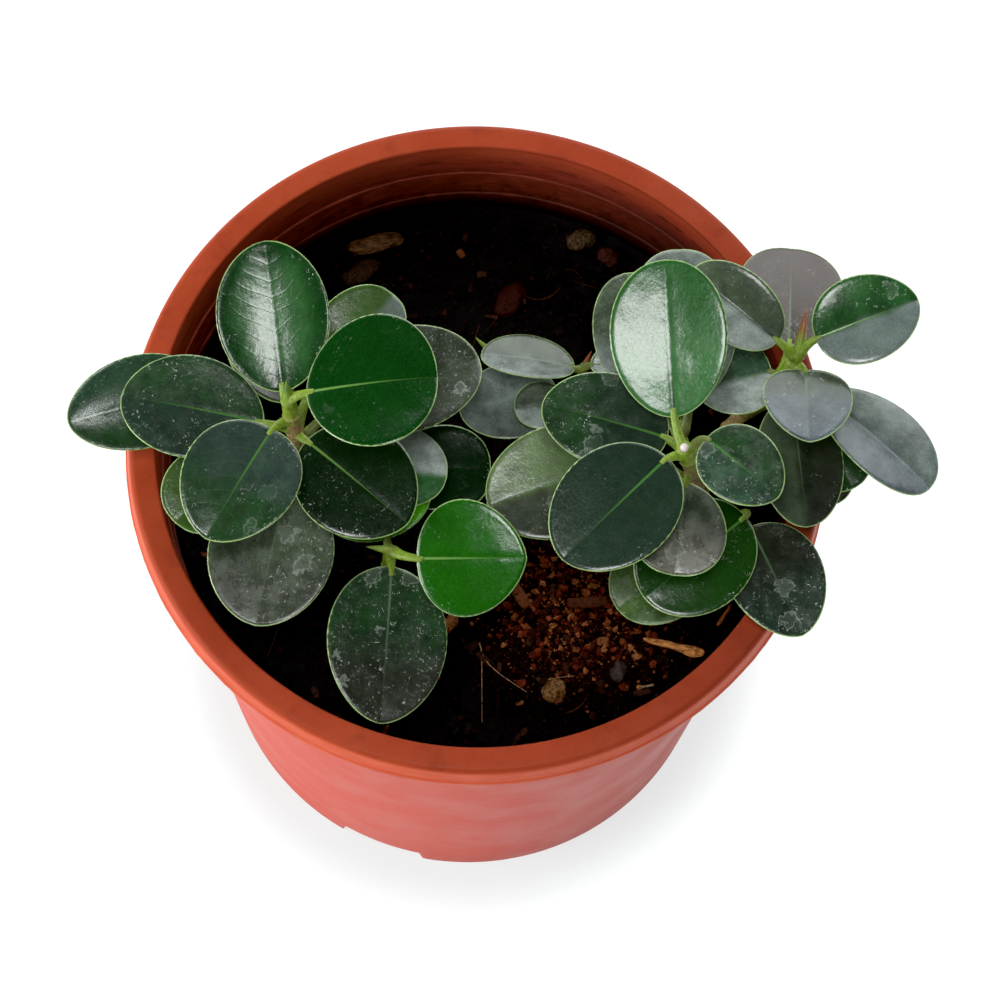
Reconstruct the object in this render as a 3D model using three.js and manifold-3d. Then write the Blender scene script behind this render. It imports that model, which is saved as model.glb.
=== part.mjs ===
// A young Chinese banyan with round leaves, in a terracotta-coloured plastic nursery pot.
// Millimetres, +Z up. The origin is on the pot's axis, at the level of the surface it stands on.

import * as THREE from 'three';
import { mergeVertices } from 'three/addons/utils/BufferGeometryUtils.js';
import Module from 'manifold-3d';

// Pot
const POT_HEIGHT = 180;
const POT_SIDES = 48;
const FOOT_RADIUS = 81;
const FOOT_WALL = 2.5;
const NECK_RADIUS = 92;
const NECK_Z = 171;
const WALL = 1.8;
const RIM_INNER_RADIUS = 91;
const RIM_TOP_RADIUS = 98.5;
const RIM_SKIRT_RADIUS = 100;
const RIM_SKIRT_Z = 172.5;
const RIM_THICKNESS = 1.8;
const STEP_DEPTH = 0.6;
const UPPER_STEP_Z = 165.3;
const LOWER_STEP_Z = 154;
const FLOOR_Z = 8.5;
const FLOOR_THICKNESS = 2.5;
const CENTRE_PAD_RADIUS = 14;
const CENTRE_PAD_WALL = 2.5;
const DRAIN_HOLES = 8;
const DRAIN_HOLE_RADIUS = 4;
const DRAIN_CIRCLE_RADIUS = 48;
const NOTCHES = 3;
const NOTCH_BEARING = 254;
const NOTCH_WIDTH = 27;
const NOTCH_HEIGHT = 8;

// Soil
const GAP = 0.3;
const SOIL_Z = 145;
const SOIL_HEAP = 4;
const SOIL_RINGS = 8;
const SOIL_SIDES = 32;
const ROOT_DEPTH = 22;
const HOLE_GAP = 0.6;

// Leaves and stems
const BLADE_THICKNESS = 0.8;
const BLADE_ROWS = 7;
const BLADE_COLUMNS = [-1, -0.5, 0, 0.5, 1];
const PETIOLE_ROOT_RADIUS = 1.5;
const PETIOLE_TIP_RADIUS = 0.7;
const PETIOLE_SIDES = 5;
const SLIVER = 0.04;
const STEM_SIDES = 8;

// Colours, as sRGB
const TERRACOTTA = 0xc46a54;
const SOIL_BROWN = 0x2b1710;
const LEAF_GREEN = 0x1f4a2b;
const BARK_TAN = 0x9a6a42;
const NUGGET_YELLOW = 0xa88a4e;
const PEBBLE_BROWN = 0x5a4038;

// The foot of a stem that stands straight up in the soil at x, y.
const rooted = (x, y) => [
  [x, y, SOIL_Z - ROOT_DEPTH],
  [x, y, SOIL_Z - 2],
  [x, y, SOIL_Z + 6],
];

// Each stem is a smooth curve through its points, with its radius at the root and at the tip.
// A side stem starts on the axis of the stem that it grows from.
const STEMS = {
  left: {
    points: [...rooted(-50, -11), [-51, -10, 170], [-50.5, -9, 192], [-52, -6, 211]],
    radii: [3.2, 2.3],
  },
  leftTwig: { points: [[-50.8, -9.9, 172], [-60, -6, 180], [-69, -2, 185]], radii: [1.9, 1.4] },
  leftLowTwig: { points: [[-50.5, -10.5, 158], [-42, -10, 166], [-33, -9, 170]], radii: [1.8, 1.4] },
  front: {
    points: [...rooted(-22, -38), [-22.5, -37.5, 165], [-21.5, -36.5, 181]],
    radii: [2.2, 1.9],
  },
  middle: {
    points: [...rooted(30, 20), [29, 22, 165], [28.5, 24, 178]],
    radii: [2.1, 1.5],
  },
  middleTwig: { points: [[29.2, 21.2, 158], [27, 18.5, 165], [25.5, 17.5, 170]], radii: [1.4, 1.2] },
  middleRunner: { points: [[29.6, 20.6, 152], [16, 25.5, 163], [1, 28.5, 176]], radii: [1.3, 0.8] },
  right: {
    points: [...rooted(67, -14), [66, -13.5, 170], [61, -14.8, 198], [56, -14, 219]],
    radii: [3.2, 2.2],
  },
  rightBackTwig: { points: [[64, -14, 182], [60, -7, 189], [57, 0, 194]], radii: [1.8, 1.3] },
  rightFrontTwig: { points: [[66.4, -13.7, 162], [72, -17, 174], [75.5, -19, 183]], radii: [1.9, 1.5] },
  back: {
    points: [...rooted(62, 2), [71, 10, 175], [82, 17, 194], [87, 20.5, 208]],
    radii: [2.8, 1.9],
  },
};

// Which stems grow together in each leafy stem. The first one stands in the soil.
const SHOOTS = {
  shoot_left: ['left', 'leftTwig', 'leftLowTwig'],
  shoot_front: ['front'],
  shoot_middle: ['middle', 'middleTwig', 'middleRunner'],
  shoot_right: ['right', 'rightBackTwig', 'rightFrontTwig'],
  shoot_back_right: ['back'],
};

// Leaves. base: foot of the blade. bearing: compass direction of the midrib, in degrees from +X.
// pitch: rise of the straight line from base to tip. roll: how far the left edge is raised.
// bend: how far the blade arches along its length. fold: how far its halves rise from the midrib.
// foot, point: how slowly the outline opens at the base and closes at the tip (0.5 is an ellipse).
const LEAF_FIELDS = ['stem', 'base', 'bearing', 'pitch', 'roll', 'length', 'width', 'bend', 'fold', 'foot', 'point'];
const LEAVES = [
  ['left', [-54, -2, 207], 102, 16, -3, 42, 31.5, 14, 12, 0.56, 0.57],
  ['left', [-47, -5, 215], 7, 12, -3, 36.5, 39.5, 16, 6, 0.59, 0.48],
  ['left', [-59, -9, 200], 174, 2, -2, 40, 30, 16, 8, 0.58, 0.55],
  ['leftTwig', [-77, 5, 190], -157, 4, -17, 40, 26.5, 16, 10, 0.53, 0.57],
  ['left', [-56, -12, 204], -114, 0, 0, 36.5, 32.5, 18, 8, 0.49, 0.58],
  ['left', [-52, -23, 185], -97, -4, 2, 39.5, 35, 16, 4, 0.49, 0.55],
  ['left', [-47, -12, 197], -36, -2, 4, 37, 32.5, 18, 8, 0.53, 0.58],
  ['left', [-38, 2, 191], 25, 0, 0, 40.5, 32, 16, 6, 0.44, 0.51],
  ['left', [-46, 6, 196], 53, 10, 0, 33, 24, 16, 8, 0.5, 0.45],
  ['left', [-41, -12, 185], -5, 0, 2, 33.5, 25, 14, 6, 0.5, 0.46],
  ['leftLowTwig', [-25, -9, 172], 3, 0, 2, 29.5, 26, 14, 6, 0.53, 0.41],
  ['leftTwig', [-65, -15, 188], -128, 0, -2, 26.5, 24.5, 14, 6, 0.5, 0.45],
  ['left', [-54, 2, 190], 133, 4, 14, 23.5, 15.5, 14, 8, 0.54, 0.45],
  ['front', [-14, -40, 186], 1, 12, 22, 31, 32.5, 12, 5, 0.47, 0.63],
  ['front', [-21, -41, 180], -89, -4, -10, 45, 33.5, 20, 6, 0.53, 0.59],
  ['front', [-23, -32, 177], 112, 0, 1, 29, 34, 14, 6, 0.46, 0.51],
  ['right', [53, -5, 218], 98, 18, -15, 43, 32, 16, 8, 0.54, 0.49],
  ['right', [52, -16, 216], -131, -4, 0, 40.5, 32.5, 14, 8, 0.51, 0.55],
  ['right', [62, -10, 217], -37, 0, 5, 25.5, 22, 14, 6, 0.46, 0.58],
  ['right', [52, -8, 210], 170, 4, -5, 35.5, 27, 14, 8, 0.49, 0.55],
  ['right', [58, -19, 206], -94, -4, -1, 26.5, 25.5, 16, 4, 0.55, 0.42],
  ['rightBackTwig', [52, 6, 195], 111, 5, -7, 42, 27.5, 14, 6, 0.48, 0.52],
  ['rightBackTwig', [58, 7, 202], 97, 1, 0, 45.5, 29.5, 14, 6, 0.5, 0.45],
  ['rightBackTwig', [45, -6, 188], -157, -2, -6, 44, 32.5, 14, 6, 0.51, 0.5],
  ['rightFrontTwig', [76, -22, 191], -136, -2, -11, 37, 31, 14, 8, 0.52, 0.5],
  ['rightFrontTwig', [78, -22, 183], -63, 2, 0, 35, 27.5, 14, 8, 0.48, 0.59],
  ['rightFrontTwig', [69, -23, 172], -140, -4, -1, 34, 27, 14, 6, 0.5, 0.48],
  ['middle', [26, 23, 180], 178, 4, 29, 27, 19.5, 14, 8, 0.5, 0.49],
  ['middleTwig', [22, 19, 170], -163, 0, -1, 29, 23.5, 14, 6, 0.49, 0.55],
  ['middleTwig', [25, 14, 176], -167, 0, -1, 15.5, 14.5, 12, 6, 0.5, 0.47],
  ['middle', [30.5, 24, 181], 6, 4, 0, 12, 9.5, 10, 20, 0.49, 0.51],
  ['back', [81, 23, 211], 145, 6, -19, 31, 20.5, 16, 12, 0.48, 0.5],
  ['back', [91, 24, 212], 24, 8, 11, 30.5, 25, 12, 12, 0.47, 0.58],
  ['back', [89, 17, 206], -86, 14, -2, 24.5, 25, 12, 8, 0.46, 0.59],
  ['back', [85, 26, 201], 90, -14, 1, 35, 30, 14, 6, 0.52, 0.49],
  ['back', [81, 20, 196], -162, -2, -1, 22.5, 23, 14, 10, 0.44, 0.55],
  ['back', [94, 14, 198], -38, -4, -19, 41, 26.5, 14, 8, 0.63, 0.48],
  ['back', [87, 13, 193], -81, -2, -6, 37.5, 24.5, 14, 6, 0.49, 0.5],
  ['back', [92, 15, 188], -61, -2, 3, 28.5, 22, 14, 6, 0.51, 0.46],
  ['back', [89, 15, 184], -64, -2, 0, 31, 20, 14, 6, 0.49, 0.52],
].map((row) => Object.fromEntries(LEAF_FIELDS.map((field, i) => [field, row[i]])));

// Pointed buds at the stems' tips: stem, bearing, pitch, length, radius at the foot.
const BUDS = [
  ['left', 100, 60, 7, 1.8],
  ['leftTwig', 150, 40, 6, 1.2],
  ['leftLowTwig', 20, 40, 5, 1.2],
  ['front', 180, 12, 7, 1.3],
  ['middle', 60, 55, 8, 1.1],
  ['middleTwig', 200, 40, 5, 1],
  ['middleRunner', 150, 30, 5, 0.9],
  ['right', 130, 80, 2.5, 2],
  ['rightBackTwig', 105, 40, 5, 1.1],
  ['rightFrontTwig', -70, 50, 5, 1.3],
  ['back', 85, 32, 13, 1.7],
];

// Loose bits lying in the soil: place, length, width and height, bearing, colour.
const BITS = {
  twig: { at: [61, -47.5], size: [18, 3.4, 3], bearing: -10, colour: BARK_TAN },
  nugget: { at: [27.5, -63], size: [7.5, 6, 5], bearing: 55, colour: NUGGET_YELLOW },
  dark_pebble: { at: [45.5, -56], size: [6, 4.6, 3.6], bearing: 80, colour: PEBBLE_BROWN },
  long_bark_chip: { at: [-35.5, 71], size: [17, 5.5, 3.2], bearing: 18, colour: BARK_TAN },
  flat_bark_chip: { at: [-39, 61.5], size: [12, 6, 3], bearing: 35, colour: PEBBLE_BROWN },
  tan_stone: { at: [26, 78], size: [9, 6, 4.5], bearing: 20, colour: BARK_TAN },
  red_stone: { at: [34.5, 73], size: [7, 5, 4], bearing: -40, colour: PEBBLE_BROWN },
  red_chunk: { at: [6, 57], size: [12, 7, 4.5], bearing: 60, colour: PEBBLE_BROWN },
  orange_chip: { at: [-4, -45], size: [6, 4, 3.2], bearing: 60, colour: BARK_TAN },
};
const BIT_RINGS = 5;
const BIT_SIDES = 8;
const BIT_SINK = 0.35;

const wasm = await Module();
wasm.setup();

const radians = (degrees) => (degrees * Math.PI) / 180;
const point = ([x, y, z]) => new THREE.Vector3(x, y, z);
const mix = (a, b, t) => a + (b - a) * t;

function toSolid(geometry) {
  const bare = geometry.clone();
  bare.deleteAttribute('normal');
  bare.deleteAttribute('uv');
  const merged = mergeVertices(bare, 1e-4);
  const mesh = new wasm.Mesh({
    numProp: 3,
    vertProperties: new Float32Array(merged.attributes.position.array),
    triVerts: new Uint32Array(merged.index.array),
  });
  return new wasm.Manifold(mesh);
}

function toGeometry(solid) {
  const mesh = solid.getMesh();
  const geometry = new THREE.BufferGeometry();
  geometry.setAttribute('position', new THREE.BufferAttribute(mesh.vertProperties, 3));
  geometry.setIndex(new THREE.BufferAttribute(mesh.triVerts, 1));
  geometry.computeVertexNormals();
  return geometry;
}

function indexedGeometry(vertices, triangles) {
  const geometry = new THREE.BufferGeometry();
  geometry.setAttribute('position', new THREE.Float32BufferAttribute(vertices.flatMap((v) => v.toArray()), 3));
  geometry.setIndex(triangles);
  return geometry;
}

function named(name, geometry, colour, roughness) {
  const mesh = new THREE.Mesh(geometry, new THREE.MeshStandardMaterial({ color: colour, roughness, metalness: 0 }));
  mesh.name = name;
  return mesh;
}

// A closed solid through rings of points, all with the same count, closed by a fan at each end.
function loft(rings) {
  const sides = rings[0].length;
  const vertices = rings.flat();
  const triangles = [];
  for (let ring = 0; ring < rings.length - 1; ring += 1) {
    for (let side = 0; side < sides; side += 1) {
      const a = ring * sides + side;
      const b = ring * sides + ((side + 1) % sides);
      triangles.push(a, b, b + sides, a, b + sides, a + sides);
    }
  }
  const last = (rings.length - 1) * sides;
  for (let side = 1; side < sides - 1; side += 1) {
    triangles.push(0, side + 1, side);
    triangles.push(last, last + side, last + side + 1);
  }
  return indexedGeometry(vertices, triangles);
}

// A round rod along a curve, with its radius given at each fraction of the length.
function rod(curve, radiusAt, sides, steps) {
  const frames = curve.computeFrenetFrames(steps, false);
  const rings = [];
  for (let step = 0; step <= steps; step += 1) {
    const centre = curve.getPointAt(step / steps);
    const radius = radiusAt(step / steps);
    const ring = [];
    for (let side = 0; side < sides; side += 1) {
      const angle = (side / sides) * 2 * Math.PI;
      ring.push(
        centre
          .clone()
          .addScaledVector(frames.normals[step], radius * Math.cos(angle))
          .addScaledVector(frames.binormals[step], radius * Math.sin(angle)),
      );
    }
    rings.push(ring);
  }
  return loft(rings);
}

// Pot

function potProfile() {
  const inner = (z) => mix(FOOT_RADIUS, NECK_RADIUS, z / NECK_Z) - WALL;
  const floorTop = FLOOR_Z + FLOOR_THICKNESS;
  const padInner = CENTRE_PAD_RADIUS - CENTRE_PAD_WALL;
  return [
    [0, 0],
    [padInner, 0],
    [CENTRE_PAD_RADIUS, 1],
    [CENTRE_PAD_RADIUS, FLOOR_Z],
    [FOOT_RADIUS - FOOT_WALL, FLOOR_Z],
    [FOOT_RADIUS - FOOT_WALL, 0],
    [FOOT_RADIUS - 0.5, 0],
    [FOOT_RADIUS, 0.6],
    [NECK_RADIUS, NECK_Z],
    [NECK_RADIUS, POT_HEIGHT - RIM_THICKNESS - 1],
    [NECK_RADIUS + 1, POT_HEIGHT - RIM_THICKNESS],
    [RIM_TOP_RADIUS - RIM_THICKNESS, POT_HEIGHT - RIM_THICKNESS - 0.8],
    [RIM_SKIRT_RADIUS - RIM_THICKNESS, RIM_SKIRT_Z],
    [RIM_SKIRT_RADIUS - 0.4, RIM_SKIRT_Z],
    [RIM_SKIRT_RADIUS, RIM_SKIRT_Z + 0.5],
    [RIM_TOP_RADIUS + 0.2, POT_HEIGHT - 1.2],
    [RIM_TOP_RADIUS - 1, POT_HEIGHT],
    [RIM_INNER_RADIUS + 0.5, POT_HEIGHT],
    [RIM_INNER_RADIUS, POT_HEIGHT - 0.5],
    [RIM_INNER_RADIUS - 0.6, UPPER_STEP_Z],
    [RIM_INNER_RADIUS - 0.6 - STEP_DEPTH, UPPER_STEP_Z - 0.3],
    [RIM_INNER_RADIUS - 1.6, LOWER_STEP_Z],
    [RIM_INNER_RADIUS - 1.6 - STEP_DEPTH, LOWER_STEP_Z - 0.3],
    [inner(SOIL_Z), SOIL_Z],
    [inner(floorTop), floorTop],
    [0, floorTop],
  ];
}

function pot() {
  const outline = potProfile().map(([r, z]) => new THREE.Vector2(r, z));
  const body = new THREE.LatheGeometry(outline, POT_SIDES);
  body.rotateX(Math.PI / 2);
  let solid = toSolid(body);
  for (let notch = 0; notch < NOTCHES; notch += 1) {
    const bearing = radians(NOTCH_BEARING + (notch * 360) / NOTCHES);
    const cutter = new THREE.BoxGeometry(12, NOTCH_WIDTH, 2 * NOTCH_HEIGHT);
    cutter.rotateZ(bearing);
    cutter.translate(FOOT_RADIUS * Math.cos(bearing), FOOT_RADIUS * Math.sin(bearing), 0);
    solid = solid.subtract(toSolid(cutter));
  }
  for (let hole = 0; hole < DRAIN_HOLES; hole += 1) {
    const bearing = radians((hole * 360) / DRAIN_HOLES);
    const cutter = new THREE.CylinderGeometry(DRAIN_HOLE_RADIUS, DRAIN_HOLE_RADIUS, 10, 12);
    cutter.rotateX(Math.PI / 2);
    cutter.translate(
      DRAIN_CIRCLE_RADIUS * Math.cos(bearing),
      DRAIN_CIRCLE_RADIUS * Math.sin(bearing),
      FLOOR_Z + FLOOR_THICKNESS / 2,
    );
    solid = solid.subtract(toSolid(cutter));
  }
  return named('pot', toGeometry(solid), TERRACOTTA, 0.45);
}

// Soil

// Height of the soil's lumpy top: heaped towards the back, with low swells and shorter lumps.
function soilHeight(x, y) {
  const heap = SOIL_HEAP * ((y + FOOT_RADIUS) / (2 * FOOT_RADIUS)) ** 2;
  const swell = 1.4 * Math.sin(x / 19 + 1.1) * Math.cos(y / 23 - 0.4);
  const lumps = 0.7 * Math.sin(x / 6.1 + y / 9.3) * Math.sin(y / 5.3 - x / 13.7 + 0.8);
  return SOIL_Z + heap + swell + lumps;
}

function soilBody() {
  const inner = (z) => mix(FOOT_RADIUS, NECK_RADIUS, z / NECK_Z) - WALL - GAP;
  const bottom = FLOOR_Z + FLOOR_THICKNESS + GAP;
  const ringAt = (radius, heightOf) => {
    const ring = [];
    for (let side = 0; side < SOIL_SIDES; side += 1) {
      const angle = (side / SOIL_SIDES) * 2 * Math.PI;
      const x = radius * Math.cos(angle);
      const y = radius * Math.sin(angle);
      ring.push(new THREE.Vector3(x, y, heightOf(x, y)));
    }
    return ring;
  };
  const rings = [ringAt(inner(bottom), () => bottom)];
  const edge = inner(SOIL_Z - 4);
  rings.push(ringAt(edge, (x, y) => soilHeight(x, y) - 0.5));
  for (let ring = SOIL_RINGS - 1; ring > 0; ring -= 1) {
    rings.push(ringAt((edge * ring) / SOIL_RINGS, soilHeight));
  }
  return toSolid(loft(rings));
}

// Bits in the soil

// A knobbly pebble or chip, lying with part of its height in the soil.
function bitGeometry(name, grow) {
  const { at, size, bearing } = BITS[name];
  const [length, width, height] = size.map((side) => side / 2 + grow);
  const phase = name.length;
  const turn = radians(bearing);
  const rings = [];
  for (let ring = 0; ring < BIT_RINGS; ring += 1) {
    const along = mix(-0.94, 0.94, ring / (BIT_RINGS - 1));
    const girth = Math.sqrt(1 - along * along) ** 0.7;
    const points = [];
    for (let side = 0; side < BIT_SIDES; side += 1) {
      const angle = (side / BIT_SIDES) * 2 * Math.PI;
      const knob = 1 + 0.12 * Math.sin(3 * angle + 2 * ring + phase);
      const across = width * girth * knob * Math.cos(angle);
      const up = height * girth * knob * Math.sin(angle);
      points.push(new THREE.Vector3(along * length, across, up));
    }
    rings.push(points);
  }
  const geometry = loft(rings);
  geometry.rotateZ(turn);
  const lift = (1 - 2 * BIT_SINK) * (size[2] / 2);
  geometry.translate(at[0], at[1], soilHeight(at[0], at[1]) + lift);
  return geometry;
}

// Stems

const curves = Object.fromEntries(
  Object.entries(STEMS).map(([name, { points }]) => [name, new THREE.CatmullRomCurve3(points.map(point))]),
);

// The point of a stem that is nearest to a given height, as far as the stem reaches.
function stemAtHeight(name, height) {
  const samples = curves[name].getSpacedPoints(60);
  let best = samples[0];
  for (const sample of samples) {
    if (Math.abs(sample.z - height) < Math.abs(best.z - height)) best = sample;
  }
  return best;
}

function stemSolid(name) {
  const [foot, tip] = STEMS[name].radii;
  const steps = 3 * (STEMS[name].points.length - 1);
  return toSolid(rod(curves[name], (t) => mix(foot, tip, t), STEM_SIDES, steps));
}

function budSolid([stem, bearing, pitch, length, radius]) {
  const start = curves[stem].getPointAt(1);
  const rise = radians(pitch);
  const heading = new THREE.Vector3(
    Math.cos(rise) * Math.cos(radians(bearing)),
    Math.cos(rise) * Math.sin(radians(bearing)),
    Math.sin(rise),
  );
  const root = start.clone().addScaledVector(heading, -1);
  const line = new THREE.LineCurve3(root, start.clone().addScaledVector(heading, length));
  return toSolid(rod(line, (t) => mix(radius, 0.3, t * t), PETIOLE_SIDES, 3));
}

// Leaves

// The blade's own axes: along the midrib, out to the left edge, and up from the face.
function bladeAxes({ bearing, pitch, roll }) {
  const heading = radians(bearing);
  const rise = radians(pitch);
  const along = new THREE.Vector3(
    Math.cos(rise) * Math.cos(heading),
    Math.cos(rise) * Math.sin(heading),
    Math.sin(rise),
  );
  const level = new THREE.Vector3(-Math.sin(heading), Math.cos(heading), 0);
  const left = level
    .clone()
    .multiplyScalar(Math.cos(radians(roll)))
    .addScaledVector(along.clone().cross(level), Math.sin(radians(roll)));
  return { along, left, up: along.clone().cross(left) };
}

// Half the blade's width at a fraction t of the way from base to tip.
function halfWidth({ width, foot, point: tip }, t) {
  const widest = foot / (foot + tip);
  return (width / 2) * (t / widest) ** foot * ((1 - t) / (1 - widest)) ** tip;
}

// A point of the blade's middle surface: t along the midrib, side from -1 (right) to 1 (left).
function bladePoint(leaf, axes, t, side) {
  const bend = radians(leaf.bend);
  const radius = leaf.length / (2 * Math.sin(bend / 2));
  const slope = bend / 2 - bend * t;
  const normal = axes.up
    .clone()
    .multiplyScalar(Math.cos(slope))
    .addScaledVector(axes.along, -Math.sin(slope));
  const reach = halfWidth(leaf, t) * side;
  const arch = 1.6 * Math.abs(side) - 0.6 * side * side;
  const lift = halfWidth(leaf, t) * arch * Math.sin(radians(leaf.fold));
  return point(leaf.base)
    .addScaledVector(axes.along, radius * (Math.sin(bend / 2) - Math.sin(slope)))
    .addScaledVector(axes.up, radius * (Math.cos(slope) - Math.cos(bend / 2)))
    .addScaledVector(axes.left, reach * Math.cos(radians(leaf.fold)))
    .addScaledVector(normal, lift);
}

// The blade as a thin closed solid, with the same triangles on its upper and lower faces.
function bladeSolid(leaf) {
  const axes = bladeAxes(leaf);
  const columns = BLADE_COLUMNS.length;
  const middle = [bladePoint(leaf, axes, 0, 0)];
  for (let row = 1; row < BLADE_ROWS; row += 1) {
    const t = (1 - Math.cos((Math.PI * row) / BLADE_ROWS)) / 2;
    for (const side of BLADE_COLUMNS) middle.push(bladePoint(leaf, axes, t, side));
  }
  middle.push(bladePoint(leaf, axes, 1, 0));
  const tip = middle.length - 1;
  const at = (row, column) => 1 + (row - 1) * columns + column;
  const face = [];
  for (let column = 0; column < columns - 1; column += 1) {
    face.push([0, at(1, column), at(1, column + 1)]);
    for (let row = 1; row < BLADE_ROWS - 1; row += 1) {
      face.push([at(row, column), at(row + 1, column), at(row + 1, column + 1)]);
      face.push([at(row, column), at(row + 1, column + 1), at(row, column + 1)]);
    }
    face.push([tip, at(BLADE_ROWS - 1, column + 1), at(BLADE_ROWS - 1, column)]);
  }
  const rim = [0];
  for (let row = 1; row < BLADE_ROWS; row += 1) rim.push(at(row, 0));
  rim.push(tip);
  for (let row = BLADE_ROWS - 1; row > 0; row -= 1) rim.push(at(row, columns - 1));
  const half = BLADE_THICKNESS / 2;
  const shifted = (distance) => middle.map((v) => v.clone().addScaledVector(axes.up, distance));
  const vertices = [...shifted(half), ...shifted(-half)];
  const below = middle.length;
  const triangles = face.flatMap(([a, b, c]) => [a, b, c, a + below, c + below, b + below]);
  rim.forEach((a, i) => {
    const b = rim[(i + 1) % rim.length];
    triangles.push(a, a + below, b + below, a, b + below, b);
  });
  return toSolid(indexedGeometry(vertices, triangles));
}

// The leaf's stalk, from the stem's axis to just inside the foot of the blade.
function petioleSolid(leaf) {
  const axes = bladeAxes(leaf);
  const base = point(leaf.base);
  const end = bladePoint(leaf, axes, 0.06, 0).addScaledVector(axes.up, -BLADE_THICKNESS / 2);
  const reach = base.distanceTo(stemAtHeight(leaf.stem, leaf.base[2]));
  const root = stemAtHeight(leaf.stem, leaf.base[2] - 2 - 0.25 * reach);
  const knee = base.clone().addScaledVector(axes.along, -0.35 * base.distanceTo(root));
  const curve = new THREE.QuadraticBezierCurve3(root, knee, end);
  return toSolid(rod(curve, (t) => mix(PETIOLE_ROOT_RADIUS, PETIOLE_TIP_RADIUS, t), PETIOLE_SIDES, 3));
}

function leafyStem(stems) {
  let solid = stemSolid(stems[0]);
  for (const stem of stems.slice(1)) solid = solid.add(stemSolid(stem));
  for (const bud of BUDS.filter(([stem]) => stems.includes(stem))) solid = solid.add(budSolid(bud));
  for (const leaf of LEAVES.filter(({ stem }) => stems.includes(stem))) {
    solid = solid.add(petioleSolid(leaf)).add(bladeSolid(leaf));
  }
  return solid.simplify(SLIVER);
}

// The hole in the soil that a leafy stem stands in.
function stemHole([stem]) {
  const [x, y, z] = STEMS[stem].points[0];
  const radius = STEMS[stem].radii[0] + HOLE_GAP;
  const cutter = new THREE.CylinderGeometry(radius, radius, 2 * ROOT_DEPTH, 12);
  cutter.rotateX(Math.PI / 2);
  cutter.translate(x, y, z - GAP + ROOT_DEPTH);
  return toSolid(cutter);
}

function soil() {
  let solid = soilBody();
  for (const stems of Object.values(SHOOTS)) solid = solid.subtract(stemHole(stems));
  for (const name of Object.keys(BITS)) solid = solid.subtract(toSolid(bitGeometry(name, GAP)));
  return named('soil', toGeometry(solid), SOIL_BROWN, 0.95);
}

const plant = new THREE.Group();
plant.add(pot());
plant.add(soil());
for (const [name, stems] of Object.entries(SHOOTS)) {
  plant.add(named(name, toGeometry(leafyStem(stems)), LEAF_GREEN, 0.4));
}
for (const [name, { colour }] of Object.entries(BITS)) {
  plant.add(named(name, bitGeometry(name, 0), colour, 0.9));
}

export default plant;
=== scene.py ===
"""A young Chinese banyan with round leaves, in a terracotta-coloured plastic nursery pot.

Sizes are millimetres in the pot's own frame, and become metres where a mesh is made.
"""

import math

import bmesh
import bpy
import numpy as np
from mathutils import Matrix, Vector, noise


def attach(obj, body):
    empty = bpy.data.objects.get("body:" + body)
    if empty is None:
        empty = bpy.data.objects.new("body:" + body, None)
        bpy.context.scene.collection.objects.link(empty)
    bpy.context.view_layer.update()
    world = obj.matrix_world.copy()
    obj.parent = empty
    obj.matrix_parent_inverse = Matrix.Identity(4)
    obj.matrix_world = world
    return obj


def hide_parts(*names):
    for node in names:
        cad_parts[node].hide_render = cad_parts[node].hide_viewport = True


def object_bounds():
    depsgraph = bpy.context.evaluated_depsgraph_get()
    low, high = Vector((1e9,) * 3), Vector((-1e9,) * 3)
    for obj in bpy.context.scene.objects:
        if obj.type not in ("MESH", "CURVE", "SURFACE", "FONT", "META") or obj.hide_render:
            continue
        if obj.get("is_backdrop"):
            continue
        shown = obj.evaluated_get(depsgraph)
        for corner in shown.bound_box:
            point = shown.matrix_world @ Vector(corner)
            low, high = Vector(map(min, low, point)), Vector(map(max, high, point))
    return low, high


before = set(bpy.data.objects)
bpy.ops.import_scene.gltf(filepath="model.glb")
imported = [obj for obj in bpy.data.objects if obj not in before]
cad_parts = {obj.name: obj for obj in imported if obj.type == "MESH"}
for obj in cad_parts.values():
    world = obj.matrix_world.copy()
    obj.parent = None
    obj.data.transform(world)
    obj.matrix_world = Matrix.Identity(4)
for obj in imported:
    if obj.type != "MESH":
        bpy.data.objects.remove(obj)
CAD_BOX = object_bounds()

MM = 0.001
SEED = 11
BLACK_LEVEL = 0.0025

# Pot
POT_HEIGHT = 180
POT_SIDES = 360
FOOT_RADIUS = 81
FOOT_WALL = 2.5
NECK_RADIUS = 92
NECK_Z = 171
WALL = 1.8
RIM_INNER_RADIUS = 91
RIM_TOP_RADIUS = 98.5
RIM_SKIRT_RADIUS = 100
RIM_SKIRT_Z = 172.5
RIM_THICKNESS = 1.8
STEP_DEPTH = 0.6
UPPER_STEP_Z = 165.3
LOWER_STEP_Z = 154
FLOOR_Z = 8.5
FLOOR_THICKNESS = 2.5
CENTRE_PAD_RADIUS = 14
CENTRE_PAD_WALL = 2.5
DRAIN_HOLES = 8
DRAIN_HOLE_RADIUS = 4
DRAIN_CIRCLE_RADIUS = 48
NOTCHES = 3
NOTCH_BEARING = 254
NOTCH_WIDTH = 27
NOTCH_HEIGHT = 8

# Soil
SOIL_Z = 145
SOIL_HEAP = 4
# Centre of the lit patch at the front right, where the soil and its crumbs are painted lighter and redder as
# a painted pool of light
LIT_PATCH_CENTRE = (33, -33)
CRUMB_HEAP = (34, -34)
CRUMB_SPREAD = 18
COARSE_CRUMBS = 1500
FINE_CRUMBS = 9000
FIBRES = 28
FLAKES = 150
SOIL_GAP = 0.3
SOIL_RINGS = 120
SOIL_SIDES = 320
ROOT_DEPTH = 22
BIT_SINK = 0.35

# Leaves
BLADE_THICKNESS = 0.8
BLADE_ROWS = 48
BLADE_COLUMNS = 27
VEIN_SPACING = 4.6
VEIN_LEAN = 0.42
VEIN_CURVE = 0.018
STEM_JOINTS = 8.5


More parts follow.
